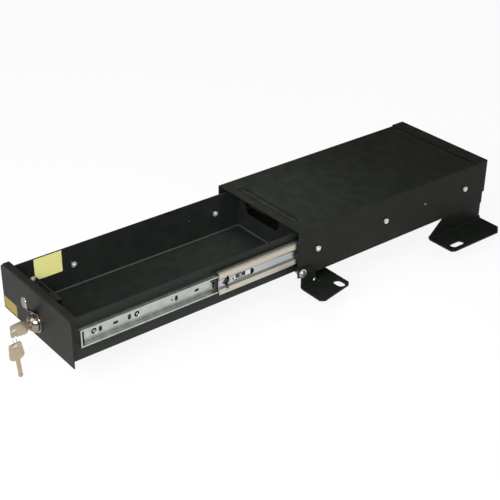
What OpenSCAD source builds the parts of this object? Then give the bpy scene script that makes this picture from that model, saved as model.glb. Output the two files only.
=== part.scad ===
// Vehicle lockable drawer: a flat steel lock box on four feet, with one full-extension drawer.
// The origin is the middle of the mouth, level with the housing's underside.
// +Z is up, +Y goes to the back and +X is the right side. The drawer is drawn pulled right out.

/* [Housing] */
// Width over the housing's sides
housing_w = 192; // [180:1:240]
// Length from the mouth to the back
housing_l = 400; // [385:1:440]
// Height over floor and top
housing_h = 76.2; // [75:0.1:100]
// Sheet thickness of the shell, floor, tray and front
sheet = 1.5; // [1.2:0.1:1.8]
// Sheet thickness of the rear cover, the strike and the lock guard
thin_sheet = 1.2; // [0.8:0.1:1.5]
// Outer radius of the long bends
bend_r = 2.5; // [2:0.1:4]
// How far the rear cover laps over the top
cover_lap = 26; // [12:1:30]
// Height of the notches in the lower back corners
notch_h = 20; // [10:1:30]
// Depth of the notches in the lower back corners
notch_d = 3.5; // [2:0.1:6]
// Length of the bead pressed into the top
bead_l = 130; // [60:1:160]
// Width of the bead
bead_w = 10; // [6:0.5:14]
// How far the bead stands proud
bead_rise = 1.2; // [0.6:0.1:2]
// Distance from the mouth to the middle of the bead
bead_y = 19.5; // [12:0.5:40]

/* [Drawer] */
// How much further the drawer opens than its slides are long
over_travel = 4.4; // [-60:0.1:8]
// Depth of the drawer front's top flange
front_flange = 11; // [8:0.5:16]
// Gap between the mouth and the front's flange when shut
front_gap = 3; // [2:0.5:6]
// Radius of the drawer front's upper corners
front_corner = 5; // [3:0.5:8]
// Gap between the front and the housing's sides, seen from the front
mouth_gap = 1.5; // [1:0.1:3]
// Gap under the drawer front
low_gap = 0.5; // [0.4:0.1:1.5]
// Gap over the drawer front
high_gap = 0.7; // [0.4:0.1:2]
// Gap under the tray
tray_gap = 1; // [0.6:0.1:2]
// Height left free over the tray's walls
tray_headroom = 5.7; // [5:0.1:10]
// Length of the opening in the tray's back
slot_l = 82; // [40:1:110]
// Height of the opening in the tray's back
slot_h = 24; // [10:1:28]
// Middle of that opening, left of the centre
slot_off = 23; // [0:1:24]
// Height of that opening's middle over the tray's floor
slot_up = 41; // [24:1:46]
// Width of the tray's front tabs
tab_w = 12; // [8:0.5:16]
// Thickness of the rubber bumpers
bumper_t = 10; // [4:0.5:12]
// Radius of the rubber bumpers
bumper_r = 6; // [4:0.5:10]

/* [Slides] */
// Room between the slides and the housing's back
slide_room = 40.4; // [20:0.1:60]
// Thickness of a slide
slide_t = 12.7; // [12.5:0.1:14]
// Height of the slides' middle line
slide_z = 40; // [40:0.5:44]
// Distance from the mouth to the outer members
slide_y = 4; // [3:0.5:8]
// How far the inner members reach in front of the outer ones when shut
inner_lead = 3.2; // [0:0.1:4]
// Height of an outer member
outer_h = 45.7; // [45:0.1:46.2]
// Height of a middle member
middle_h = 35.7; // [35.4:0.1:36]
// Height of an inner member
inner_h = 26; // [25.6:0.1:26.4]
// Steel thickness of the slides
slide_sheet = 1.2; // [1:0.05:1.3]
// Share of the travel that the middle members make
middle_share = 0.4; // [0.38:0.01:0.42]
// Length of an outer ball cage
outer_cage_l = 150; // [80:1:170]
// Length of an inner ball cage
inner_cage_l = 110; // [60:1:120]
// Distance from one ball to the next
ball_pitch = 14; // [8:0.5:20]

/* [Lock] */
// Height of the lock's axis
lock_z = 25; // [24:0.5:29]
// Distance from the front's face to the cam
cam_depth = 19; // [19:0.5:23]
// Thickness of the cam
cam_t = 2.5; // [2:0.1:3]
// Radius of the lock's flange
lock_head_r = 12.5; // [11.5:0.1:14]
// How far the lock's nose stands out
lock_nose = 11.5; // [9:0.5:14]
// Radius of the plug
plug_r = 6; // [5.4:0.1:6.4]
// Radius of the finger pull's base
pull_base_r = 14.6; // [14:0.1:18]
// Width of the finger pull's paddle
pull_w = 16; // [12:0.5:22]
// Thickness of the finger pull
pull_t = 1.8; // [1.2:0.1:2.4]
// How far the paddle stands off the front
pull_reach = 15.5; // [12:0.5:20]
// Height of the paddle's top over the lock's axis
pull_rise = 45; // [42:0.5:52]
// Width of the lock guard left of the lock
guard_left = 27; // [26:1:60]
// Width of the lock guard right of the lock
guard_right = 30; // [16:1:50]
// Width of the strike
strike_w = 34; // [20:1:44]

/* [Keys] */
// Length of a key's bow
bow_l = 27; // [23:0.5:30]
// Width of a key's bow
bow_w = 22; // [16:0.5:22]
// Thickness of a key
key_t = 1.8; // [1.4:0.1:1.9]
// Length of a key's blade
blade_l = 29; // [18:0.5:29]
// Width of a key's blade
blade_w = 6.6; // [5:0.1:7]
// Radius of the hole in a key's bow
key_hole_r = 2.5; // [2.4:0.1:2.8]
// Radius of the key ring at the middle of its wire
ring_r = 12; // [11.2:0.1:13]
// Radius of the key ring's wire
wire_r = 0.7; // [0.5:0.05:0.75]
// Turn of the key ring away from the front
ring_turn = 11; // [0:1:20]
// Lean of the spare key as it hangs
spare_lean = 4; // [0:1:12]

/* [Brackets] */
// Plate thickness of the brackets
bracket_t = 3; // [2.5:0.1:4]
// Depth of the front feet under the housing
front_drop = 19.3; // [19:0.1:30]
// Depth of the rear feet under the housing
rear_drop = 31.5; // [26:0.1:40]
// Width of a front foot
front_foot_w = 48; // [42:1:60]
// Length of a front foot
front_foot_l = 67; // [57:1:80]
// Distance from the mouth to a front foot
front_foot_y = 5.5; // [3:0.5:7]
// Width of a rear foot
rear_foot_w = 50.5; // [46:0.5:70]
// Length of a rear foot
rear_foot_l = 119; // [100:1:130]
// Distance from the back of a rear foot to the back of the housing
rear_foot_back = 2; // [0:1:20]
// Length of a front slot
front_slot_l = 20; // [14.5:0.5:21]
// Width of a front slot
front_slot_w = 14; // [8:0.5:14]
// Length of a rear slot
rear_slot_l = 27; // [16:0.5:36]
// Width of a rear slot
rear_slot_w = 12.5; // [8:0.5:14]
// Height of the front bracket bolts
bolt_z = 8.6; // [8.5:0.1:9.5]
// Distance from the mouth to the front bracket bolts
bolt_y = 6; // [5.5:0.5:8]
// Radius of the bolts' washers
washer_r = 6.4; // [6:0.1:6.7]

/* [Hidden] */

$fn = 48;
// How far a cutter runs past the face that it cuts
past = 1;
// Gap between a bore and the fixed pin or screw in it
snug = 0.05;
// Gap between parts that pass each other
pass_gap = 0.4;
black = [0.13, 0.135, 0.13];
zinc = [0.72, 0.73, 0.72];
warm_zinc = [0.75, 0.73, 0.68];
chrome = [0.8, 0.8, 0.82];
nickel = [0.72, 0.66, 0.56];
yellow = [0.93, 0.88, 0.5];

// Length of each slide member, and how far the drawer opens
slide_l = housing_l - slide_y - slide_room;
travel = slide_l + over_travel;

// Housing faces
side_in = housing_w / 2 - sheet;
top_in = housing_h - sheet;
shell_l = housing_l - thin_sheet;
floor_in = 11;
floor_lip_h = 12;
floor_lip_y = 20;
cover_lip_l = 14;
cover_lip_h = [22, 70];
notch_w = 6;

// Drawer faces, with the drawer out
tray_half = side_in - slide_t;
tray_z = sheet + tray_gap;
tray_top = top_in - tray_headroom;
face_y = -travel - front_gap - front_flange;
tray_y = face_y + sheet;
bumper_gap = 0.3;
tray_end = shell_l - bumper_gap - bumper_t - travel;
front_half = side_in - mouth_gap;
front_z = sheet + low_gap;
front_top = top_in - high_gap;

// Slide members: where each starts along Y with the drawer out
middle_y = slide_y - middle_share * travel;
inner_y = slide_y - inner_lead - travel;
middle_end = middle_y + slide_l;
inner_end = inner_y + slide_l;
outer_cage_y = (slide_y + middle_end - outer_cage_l) / 2;
inner_cage_y = (middle_y + inner_end - inner_cage_l) / 2;

// Slide section, measured outward from the tray (u) and up from the middle line (v)
outer_reach = 2.9;
lip_h = 1;
middle_reach = 2.6;
middle_corner_r = 2.2;
middle_back = slide_t - 2.8;
outer_front = 3.8;
stop_reach = 3;
stop_low = -5.5;
stop_high = 3;
stop_gap = 2.4;
stop_t = 1.1;
panel_dip = 2.2;
panel_half = 5;
panel_edge = 8.4;
panel_wall = 0.5;
middle_lip_t = 1;
middle_lip_h = 1.05;
track_dip = 0.5;
track_start = 3.8;
inner_reach = 8.2;
inner_lip_t = 0.8;
inner_lip_h = 0.9;
inner_open = 8.5;
end_strip = 2;
outer_ball_u = 6.2;
inner_ball_u = 5.4;
ball_gap = 0.12;
cage_t = 0.8;
cage_w = 5;
outer_ball_v = (outer_h / 2 - slide_sheet + middle_h / 2) / 2;
outer_ball_r = (outer_h / 2 - slide_sheet - middle_h / 2) / 2 - ball_gap;
inner_ball_v = (middle_h / 2 - slide_sheet + inner_h / 2 - track_dip) / 2;
inner_ball_r = (middle_h / 2 - slide_sheet - inner_h / 2 + track_dip) / 2 - ball_gap;

// Screws of the slides, from the front end of the member that they hold
outer_screws = [31.4, 169.1, slide_l - 10.2];
inner_screws = [23.7, 89.7, slide_l - 15.9];
screw_r = 2.5;
screw_head_r = 4.4;
screw_head_h = 1.9;
nut_flats = 8;
nut_t = 4;
screw_tip = 1.6;
pip_r = 1.3;
pip_rise = 0.5;
outer_pip = 256.5;
inner_pip = 292;

// Lock: distances along Y follow the front's face
cam_y = face_y + cam_depth;
barrel_r = 9.45;
lock_rim = 2.5;
lock_bulge = 4.7;
barrel_flats = 16;
barrel_end = cam_y - 0.3;
pull_y = face_y - pull_t;
nose_y = face_y - lock_nose;
plug_y = nose_y - 0.5;
guard_top = tray_top - 1;
guard_back_y = cam_y + cam_t + 1.8;
guard_z = 12;
cam_gap = 1;
cam_tip_r = 5;
cam_hub_r = 8.5;
strike_top = top_in - thin_sheet;
cam_reach = strike_top - pass_gap - lock_z;
strike_y = cam_y + travel - 0.9 - thin_sheet;
strike_foot = 8.4;
strike_end = tray_top + 0.5;
square_w = 7;
cam_screw_r = 1.95;
cam_screw_l = 4;
cam_washer_r = 6;
cam_washer_t = 1;
cam_head_r = 4;
cam_head_t = 2.2;
lock_nut_flats = 22;
lock_nut_t = 5;

// Keys
shoulder_y = plug_y - 0.1;
key_hole_in = 4.7;
hole_y = shoulder_y - bow_l + key_hole_in;
spare_hole_z = lock_z - 2 * ring_r;
keyway_w = key_t + 0.3;
keyway_h = blade_w + 0.4;
keyway_end = shoulder_y + blade_l + 0.4;

// Release levers on the inner slide members
lever_y = middle_y + 40;
lever_front = 44;
lever_post = 4.5;
lever_drop = 8.4;
lever_lift = 8;
lever_hook = 5.5;
lever_h = 3;
lever_hub_l = 14;
lever_hub_h = 8;
lever_u = 3.4;
lever_t = 2;
lever_pin_r = 2;
lever_fit = 0.05;
lever_pin_out = 0.4;
window_l = 38;
window_h = 9.4;
window_off = 3.8;
end_hole_in = 12;
end_hole_r = 2.2;

// Brackets
front_ear_y = 22;
front_ear_r = 7.9;
leg_lap = 1.5;
leg_top_y = 30;
leg_low_y = 40;
leg_relief = 2;
front_tuck = 20;
foot_bend_r = 4.5;
front_chamfers = [5.2, 6.5, 4.7, 4.5];
front_taper = 11.3;
rear_chamfers = [4, 6, 11, 13];
front_slot_in = 21.7;
front_slot_back = 13.7;
rear_slot_in = 13;
rear_slot_front = 23;
leg_hole_r = 3.25;
leg_hole = [30.7, -11];
rear_leg_front = 30;
rear_leg_back = 3.4;
rear_flange_w = 30;
rear_rivets = [20, 80];
rivet_r = 2.4;
rivet_head_r = 4.5;
rivet_head_h = 1.8;
bolt_r = 3;
bolt_head_r = 4.9;
bolt_head_h = 3.4;
bolt_hex_r = 2.2;
bolt_hex_h = 1.8;
bolt_hole_r = 3.3;
washer_t = 1.3;
bolt_nut_flats = 10;
bolt_nut_t = 5;
bolt_tip = 1;
cover_rivet = [9, 40];
cover_rivet_r = 1.6;
cover_rivet_head_r = 3;
cover_rivet_head_h = 1.1;

// Labels
label_t = 0.25;
tray_label = [43.5, 33.5];
tray_label_y = 42;
tray_label_top = 1;
tray_label_cut = [6.5, 7];
front_label = [34.5, 17.5];
front_label_in = 2;
front_label_up = 2.5;

// Extrudes an (x, z) outline along Y
module along_y(y0, len) {
    translate([0, y0 + len, 0]) rotate([90, 0, 0]) linear_extrude(len) children();
}

// Extrudes a (y, z) outline along X
module along_x(x0, len) {
    translate([x0, 0, 0]) rotate([90, 0, 90]) linear_extrude(len) children();
}

// A bar of radius r along X, from x0
module bar_x(x0, len, r) {
    translate([x0, 0, 0]) rotate([0, 90, 0]) cylinder(h = len, r = r);
}

// A bar of radius r along Y, from y0
module bar_y(y0, len, r) {
    translate([0, y0 + len, 0]) rotate([90, 0, 0]) cylinder(h = len, r = r);
}

// The right side's shape on the side that s names: 1 is right, -1 is left
module on_side(s) {
    if (s > 0) children();
    else mirror([1, 0, 0]) children();
}

module both_sides() {
    for (s = [-1, 1]) on_side(s) children();
}

// A rectangle from corner at, with its corners rounded
module round_rect(at, size, r) {
    translate(at + [r, 0]) square([size.x - 2 * r, size.y]);
    translate(at + [0, r]) square([size.x, size.y - 2 * r]);
    for (x = [r, size.x - r], y = [r, size.y - r]) translate(at + [x, y]) circle(r);
}

// A slot with round ends about the origin, along the first axis
module slot_outline(len, w) {
    square([len - w, w], center = true);
    for (s = [-1, 1]) translate([s * (len - w) / 2, 0]) circle(w / 2);
}

// A low round head on the plane x = 0, bulging to +X
module dome_x(r, h) {
    sphere_r = (r * r + h * h) / (2 * h);
    rotate([0, 90, 0]) rotate_extrude() intersection() {
        translate([0, h - sphere_r]) circle(sphere_r);
        square([r + past, h]);
    }
}

// A hexagon nut along X from x0, flats up and down
module nut_x(x0, flats, t, hole_r) {
    translate([x0, 0, 0]) rotate([0, 90, 0]) difference() {
        rotate([0, 0, 0]) cylinder(h = t, r = flats / 2 / cos(30), $fn = 6);
        translate([0, 0, -past]) cylinder(h = t + 2 * past, r = hole_r);
    }
}

// Housing shell: top and sides from one sheet
module housing_shell() {
    color(black) difference() {
        union() {
            along_y(0, shell_l) difference() {
                round_rect([-housing_w / 2, 0], [housing_w, housing_h], bend_r);
                round_rect([-side_in, -bend_r * 2], [2 * side_in, top_in + bend_r * 2], bend_r - sheet);
            }
            both_sides() translate([side_in, 0, 0]) cube([sheet, shell_l, bend_r * 2]);
            bead(0);
        }
        bead(sheet);
        back_notches();
        both_sides() {
            for (y = outer_screws) screw_place(slide_y + y) countersunk_hole(side_in, sheet);
            screw_place(slide_y + outer_pip) bar_x(side_in - past, sheet + 2 * past, pip_r + snug);
            translate([0, bolt_y, bolt_z]) bar_x(side_in - past, sheet + 2 * past, bolt_hole_r);
            cover_rivet_place() bar_x(side_in - past, sheet + 2 * past, cover_rivet_r + snug);
        }
    }
}

// The bead across the top, or with a wall thickness its hollow underneath
module bead(wall) {
    arc_r = (bead_w * bead_w / 4 + bead_rise * bead_rise) / (2 * bead_rise);
    base = wall > 0 ? top_in - past : top_in + sheet / 2;
    intersection() {
        translate([0, bead_y, housing_h + bead_rise - arc_r]) {
            bar_x(-bead_l / 2 + bead_w / 2, bead_l - bead_w, arc_r - wall);
            for (s = [-1, 1]) translate([s * (bead_l - bead_w) / 2, 0, 0]) sphere(arc_r - wall);
        }
        translate([-bead_l, bead_y - bead_w, base]) cube([2 * bead_l, 2 * bead_w, bead_w]);
    }
}

module back_notches() {
    both_sides() translate([housing_w / 2 - notch_w, housing_l - notch_d, -past])
        cube([notch_w + past, notch_d + past, notch_h + past]);
}

// A screw's place on the slides' middle line
module screw_place(y) {
    translate([0, y, slide_z]) children();
}

module cover_rivet_place() {
    translate([0, housing_l - cover_rivet.x, cover_rivet.y]) children();
}

// The hole for a screw whose head lies on the slide at its inner face, going outward through a wall
module countersunk_hole(wall_x, wall_t) {
    bar_x(wall_x - past, wall_t + 2 * past, screw_r + snug);
    translate([wall_x - slide_sheet, 0, 0]) rotate([0, 90, 0])
        cylinder(h = screw_head_h, r1 = screw_head_r + snug, r2 = screw_r + snug);
}

module housing_floor() {
    color(black) difference() {
        union() {
            translate([-side_in, floor_in, 0]) cube([2 * side_in, shell_l - floor_in, sheet]);
            both_sides() translate([side_in - sheet, floor_lip_y, 0])
                cube([sheet, shell_l - floor_lip_y, floor_lip_h]);
        }
        back_notches();
        both_sides() rear_rivet_places() cylinder(h = 4 * sheet, r = rivet_r + snug, center = true);
    }
}

// Rear cover: closes the back and laps over the top
module rear_cover() {
    lap_y = housing_l - cover_lap;
    color(black) difference() {
        union() {
            along_x(-housing_w / 2, housing_w) difference() {
                union() {
                    translate([shell_l, 0]) square([thin_sheet, housing_h]);
                    translate([lap_y, housing_h]) square([cover_lap - bend_r, thin_sheet]);
                    translate([housing_l - bend_r, housing_h + thin_sheet - bend_r]) circle(bend_r);
                }
                translate([shell_l - 2 * bend_r, housing_h - 2 * bend_r]) square(2 * bend_r);
            }
            both_sides() translate([side_in - thin_sheet, shell_l - cover_lip_l, cover_lip_h[0]])
                cube([thin_sheet, cover_lip_l, min(cover_lip_h[1], top_in) - cover_lip_h[0]]);
        }
        back_notches();
        both_sides() cover_rivet_place() bar_x(side_in - 2 * past, 4 * past, cover_rivet_r + snug);
    }
}

module cover_rivets() {
    color(black) both_sides() cover_rivet_place() {
        bar_x(side_in - thin_sheet - cover_rivet_head_h, thin_sheet + sheet + cover_rivet_head_h,
            cover_rivet_r);
        translate([housing_w / 2, 0, 0]) dome_x(cover_rivet_head_r, cover_rivet_head_h);
        bar_x(side_in - thin_sheet - cover_rivet_head_h, cover_rivet_head_h, cover_rivet_head_r - 1);
    }
}

// Strike: a tongue that hangs behind the mouth, with a foot under the top
module lock_strike() {
    color(black) translate([-strike_w / 2 - cam_tip_r, strike_y, 0]) {
        translate([0, 0, strike_end]) cube([strike_w, thin_sheet, top_in - strike_end]);
        translate([0, 0, strike_top]) cube([strike_w, strike_foot, thin_sheet]);
    }
}

// Outline of a foot seen from above: x outward from 0 to w, y from 0 to l, narrower by taper at l
module foot_outline(w, l, chamfers, taper) {
    polygon([
        [0, 0], [w - chamfers[0], 0], [w, chamfers[1]],
        [w - taper, l - chamfers[3]], [w - taper - chamfers[2], l], [0, l],
    ]);
}

// Section of a bracket's leg and foot, with the bend between them: x outward, z up from the foot
module foot_section(w, h) {
    difference() {
        union() {
            translate([foot_bend_r, 0]) square([w - foot_bend_r, bracket_t]);
            translate([0, foot_bend_r]) square([bracket_t, h - foot_bend_r]);
            translate([foot_bend_r, foot_bend_r]) circle(foot_bend_r);
        }
        translate([foot_bend_r, foot_bend_r]) circle(foot_bend_r - bracket_t);
        translate([foot_bend_r, bracket_t]) square([foot_bend_r, h]);
        translate([bracket_t, foot_bend_r]) square([foot_bend_r, h]);
    }
}

// Outline of a front bracket's leg, as (y, z)
module front_leg_outline() {
    translate([bolt_y, bolt_z]) circle(front_ear_r);
    polygon([
        [front_foot_y, -front_drop], [front_foot_y, bolt_z], [bolt_y, bolt_z + front_ear_r],
        [front_ear_y, bolt_z + front_ear_r], [leg_top_y, leg_lap], [leg_low_y, -front_drop],
    ]);
}

module front_bracket(s) {
    color(black) on_side(s) difference() {
        union() {
            intersection() {
                translate([housing_w / 2, 0, -front_drop])
                    along_y(-front_foot_l, 3 * front_foot_l)
                    foot_section(front_foot_w, front_drop + bolt_z + front_ear_r);
                along_x(housing_w / 2 - past, foot_bend_r + 2 * past) front_leg_outline();
            }
            translate([housing_w / 2, 0, -front_drop]) linear_extrude(bracket_t) {
                difference() {
                    translate([0, front_foot_y])
                        foot_outline(front_foot_w, front_foot_l, front_chamfers, front_taper);
                    translate([-past, 0]) square([past + foot_bend_r, leg_low_y + leg_relief]);
                }
                translate([-front_tuck, leg_low_y + leg_relief])
                    square([front_tuck + past, front_foot_y + front_foot_l - leg_low_y - leg_relief]);
            }
        }
        translate([0, bolt_y, bolt_z]) bar_x(housing_w / 2 - past, bracket_t + 2 * past, bolt_hole_r);
        translate([0, leg_hole.x, leg_hole.y]) bar_x(housing_w / 2 - past, bracket_t + 2 * past, leg_hole_r);
        translate([housing_w / 2 + front_foot_w - front_slot_in,
            front_foot_y + front_foot_l - front_slot_back, 0])
            translate([0, 0, -front_drop - past]) linear_extrude(bracket_t + 2 * past)
            slot_outline(front_slot_l, front_slot_w);
    }
}
module front_bracket_right() { front_bracket(1); }
module front_bracket_left() { front_bracket(-1); }

// Rear bracket: flange under the floor, leg in line with the housing's side, foot outward
module rear_bracket(s) {
    foot_y = housing_l - rear_foot_back - rear_foot_l;
    leg_x = housing_w / 2 - bracket_t;
    color(black) on_side(s) difference() {
        union() {
            intersection() {
                translate([leg_x, 0, -rear_drop]) along_y(foot_y, rear_foot_l)
                    foot_section(rear_foot_w + bracket_t, rear_drop);
                union() {
                    along_x(leg_x - past, bracket_t + past) polygon([
                        [foot_y, -rear_drop], [foot_y, foot_bend_r - rear_drop],
                        [foot_y + rear_leg_front, 0], [foot_y + rear_foot_l - rear_leg_back, 0],
                        [foot_y + rear_foot_l - rear_leg_back, -rear_drop],
                    ]);
                    translate([leg_x, foot_y, -rear_drop - past]) linear_extrude(bracket_t + foot_bend_r)
                        foot_outline(rear_foot_w + bracket_t, rear_foot_l, rear_chamfers, 0);
                }
            }
            translate([leg_x - rear_flange_w, foot_y + rear_leg_front, -bracket_t])
                cube([rear_flange_w + bracket_t, rear_foot_l - rear_leg_front - rear_leg_back, bracket_t]);
        }
        rear_rivet_places() cylinder(h = 3 * bracket_t, r = rivet_r + snug, center = true);
        translate([housing_w / 2 + rear_foot_w - rear_slot_in, foot_y + rear_slot_front, -rear_drop - past])
            rotate([0, 0, 90]) linear_extrude(bracket_t + 2 * past) slot_outline(rear_slot_l, rear_slot_w);
    }
}
module rear_bracket_right() { rear_bracket(1); }
module rear_bracket_left() { rear_bracket(-1); }

// Places of the rivets that hold a rear bracket to the floor
module rear_rivet_places() {
    for (y = rear_rivets) translate([
        (housing_w - bracket_t - rear_flange_w) / 2 - bracket_t,
        housing_l - rear_foot_back - rear_foot_l + rear_leg_front + y * (rear_foot_l - rear_leg_front) / 100,
        0,
    ]) children();
}

module bracket_rivets() {
    color(black) both_sides() rear_rivet_places() {
        translate([0, 0, -bracket_t]) cylinder(h = bracket_t + sheet, r = rivet_r);
        translate([0, 0, -bracket_t]) rotate([0, 90, 0]) dome_x(rivet_head_r, rivet_head_h);
    }
}

module bolt_place() {
    translate([0, bolt_y, bolt_z]) children();
}

module bracket_bolts() {
    inner_end = side_in - washer_t - bolt_nut_t - bolt_tip;
    outer_face = housing_w / 2 + bracket_t + washer_t;
    color(zinc) both_sides() bolt_place() difference() {
        union() {
            bar_x(inner_end, outer_face - inner_end, bolt_r);
            translate([outer_face, 0, 0]) dome_x(bolt_head_r, bolt_head_h);
        }
        translate([outer_face + bolt_head_h - bolt_hex_h, 0, 0]) rotate([0, 90, 0])
            cylinder(h = bolt_head_h, r = bolt_hex_r, $fn = 6);
    }
}

module bracket_washers() {
    color(zinc) both_sides() bolt_place() for (x = [side_in - washer_t, housing_w / 2 + bracket_t])
        difference() {
            bar_x(x, washer_t, washer_r);
            bar_x(x - past, washer_t + 2 * past, bolt_r + snug * 2);
        }
}

module bracket_nuts() {
    color(zinc) both_sides() bolt_place() rotate([30, 0, 0])
        nut_x(side_in - washer_t - bolt_nut_t, bolt_nut_flats, bolt_nut_t, bolt_r + snug);
}

// A slide member: its section along Y, from y0, with its cut-outs as children
module slide_member(y0, tint) {
    color(tint) difference() {
        translate([tray_half, 0, slide_z]) along_y(y0, slide_l) children(0);
        children(1);
    }
}

module outer_section() {
    half = outer_h / 2;
    intersection() {
        round_rect([-slide_t, -half], [2 * slide_t, outer_h], middle_corner_r);
        union() {
            translate([slide_t - slide_sheet, -half]) square([slide_sheet, outer_h]);
            for (m = [0, 1]) mirror([0, m]) {
                translate([outer_reach, half - slide_sheet]) square([slide_t - outer_reach, slide_sheet]);
                translate([outer_reach, half - slide_sheet - lip_h])
                    square([slide_sheet, lip_h + slide_sheet]);
            }
        }
    }
}

module slide_outer(s) {
    on_side(s) {
        slide_member(slide_y, zinc) {
            outer_section();
            union() {
                for (y = outer_screws) screw_place(slide_y + y) countersunk_hole(side_in, sheet);
                screw_place(slide_y + outer_pip) bar_x(side_in - slide_t, 2 * slide_t, pip_r + snug);
            }
        }
        color(zinc) translate([tray_half, 0, slide_z]) along_y(slide_y - outer_front, outer_front + past)
            outer_section();
        color(zinc) along_x(side_in - slide_sheet, slide_sheet) outer_stop();
    }
}

// Hooked stop at the front edge of an outer member's web, as (y, z)
module outer_stop() {
    y = slide_y - outer_front;
    difference() {
        translate([y - stop_reach, slide_z + stop_low]) square([stop_reach + past, stop_high - stop_low]);
        translate([y - stop_reach + stop_t, slide_z + stop_low + stop_t])
            square([stop_gap, stop_high - stop_low - 2 * stop_t]);
    }
}
module slide_outer_right() { slide_outer(1); }
module slide_outer_left() { slide_outer(-1); }

// A middle member's pressed panel: the dip in the face at u
module panel_outline(u, wall) {
    polygon([
        [u + past, panel_edge + wall], [u, panel_edge + wall], [u - panel_dip, panel_half + wall],
        [u - panel_dip, -panel_half - wall], [u, -panel_edge - wall], [u + past, -panel_edge - wall],
    ]);
}

module middle_section() {
    half = middle_h / 2;
    inner_face = middle_back - slide_sheet;
    difference() {
        round_rect([-slide_t, -half], [middle_back + slide_t, middle_h], middle_corner_r);
        difference() {
            round_rect([-slide_t, slide_sheet - half], [inner_face + slide_t, middle_h - 2 * slide_sheet],
                middle_corner_r - slide_sheet);
            for (v = [middle_lip_h / 2 - half, half - slide_sheet - middle_lip_h])
                translate([middle_reach - past, v])
                    square([middle_lip_t + past, slide_sheet + middle_lip_h / 2]);
            panel_outline(inner_face, panel_wall);
        }
        panel_outline(middle_back, 0);
        translate([middle_reach - 2 * slide_t, -middle_h]) square([2 * slide_t, 2 * middle_h]);
    }
}

// Cut-outs of a middle member: the latch's arrow and the lever's window, near its front
module middle_cuts() {
    along_x(tray_half + middle_reach + middle_lip_t, slide_t) translate([middle_y, slide_z]) {
        polygon([
            [6, -0.7], [12.6, 6], [13, 10], [16.5, 9.6], [17, 5.4], [19.2, 4.4], [19, -2],
            [16.6, -4.6], [16.8, -11.4], [14, -13.4], [11.2, -11.8], [12.4, -7], [10.2, -3.2],
        ]);
        translate([lever_y - middle_y + window_off, 0]) slot_outline(window_l, window_h);
        translate([slide_l - end_hole_in, 0]) circle(end_hole_r);
    }
}

module slide_middle(s) {
    on_side(s) slide_member(middle_y, warm_zinc) {
        middle_section();
        middle_cuts();
    }
}
module slide_middle_right() { slide_middle(1); }
module slide_middle_left() { slide_middle(-1); }

module inner_section() {
    half = inner_h / 2;
    translate([0, -half]) square([slide_sheet, inner_h]);
    for (m = [0, 1]) mirror([0, m]) {
        translate([0, half - slide_sheet]) square([track_start, slide_sheet]);
        translate([track_start - track_dip, half - slide_sheet - track_dip])
            square([inner_reach - track_start + track_dip, slide_sheet]);
        translate([inner_reach - inner_lip_t, half - slide_sheet - track_dip])
            square([inner_lip_t, slide_sheet + inner_lip_h]);
    }
}

// Holes in an inner member's web, from its front end: [y, length along Y, height]
web_slots = [
    [33.1, 5, 8], [56.4, 8, 4], [77.8, 5, 8],
    [145.8, 3, 3], [153, 5, 8], [186.9, 8, 4],
];

module slide_inner(s) {
    on_side(s) {
        slide_member(inner_y, zinc) {
            inner_section();
            union() {
                for (y = inner_screws) inner_screw_hole(inner_y + y);
                screw_place(inner_y + inner_pip) bar_x(tray_half - past, 2 * slide_t, pip_r + snug);
                for (h = web_slots) along_x(tray_half - past, 2 * past + slide_sheet)
                    translate([inner_y + h[0], slide_z]) web_slot(h[1], h[2]);
                along_x(tray_half - past, past + slide_sheet)
                    translate([inner_y - past, slide_z - inner_h / 2 - past])
                    square([past + inner_open, inner_h + 2 * past]);
            }
        }
        color(zinc) along_x(tray_half + inner_reach - inner_lip_t, inner_lip_t)
            translate([inner_y, slide_z - inner_h / 2]) square([end_strip, inner_h]);
        color(zinc) screw_place(lever_y) bar_x(tray_half + slide_sheet,
            lever_u + lever_t + lever_pin_out - slide_sheet, lever_pin_r);
    }
}
module slide_inner_right() { slide_inner(1); }
module slide_inner_left() { slide_inner(-1); }

module web_slot(len, h) {
    if (h > len) rotate(90) slot_outline(h + snug, len);
    else slot_outline(len + snug, h);
}

// The hole for a screw whose head lies on the inner member, going inward through the tray's wall
module inner_screw_hole(y) {
    screw_place(y) {
        bar_x(tray_half - sheet - past, sheet + slide_sheet + 2 * past, screw_r + snug);
        translate([tray_half + slide_sheet, 0, 0]) rotate([0, -90, 0])
            cylinder(h = screw_head_h, r1 = screw_head_r + snug, r2 = screw_r + snug);
    }
}

// Screws lie with their heads on the slides; x grows from the head to the tip
module slide_screw(wall_t) {
    rotate([0, 90, 0]) cylinder(h = screw_head_h, r1 = screw_head_r, r2 = screw_r);
    bar_x(0, slide_sheet + wall_t + nut_t + screw_tip, screw_r);
}

module pip(wall_t) {
    bar_x(0, slide_sheet + wall_t, pip_r);
    translate([slide_sheet + wall_t, 0, 0]) dome_x(pip_r * 1.5, pip_rise);
}

module housing_screws() {
    color(zinc) both_sides() {
        for (y = outer_screws) screw_place(slide_y + y) translate([side_in - slide_sheet, 0, 0])
            slide_screw(sheet);
        screw_place(slide_y + outer_pip) translate([side_in - slide_sheet, 0, 0]) pip(sheet);
    }
}

module housing_nuts() {
    color(zinc) both_sides() for (y = outer_screws) screw_place(slide_y + y)
        nut_x(housing_w / 2, nut_flats, nut_t, screw_r + snug);
}

module tray_screws() {
    color(zinc) both_sides() {
        for (y = inner_screws) screw_place(inner_y + y) translate([tray_half + slide_sheet, 0, 0])
            mirror([1, 0, 0]) slide_screw(sheet);
        screw_place(inner_y + inner_pip) translate([tray_half + slide_sheet, 0, 0]) mirror([1, 0, 0])
            pip(sheet);
    }
}

module tray_nuts() {
    color(zinc) both_sides() for (y = inner_screws) screw_place(inner_y + y)
        nut_x(tray_half - sheet - nut_t, nut_flats, nut_t, screw_r + snug);
}

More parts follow.
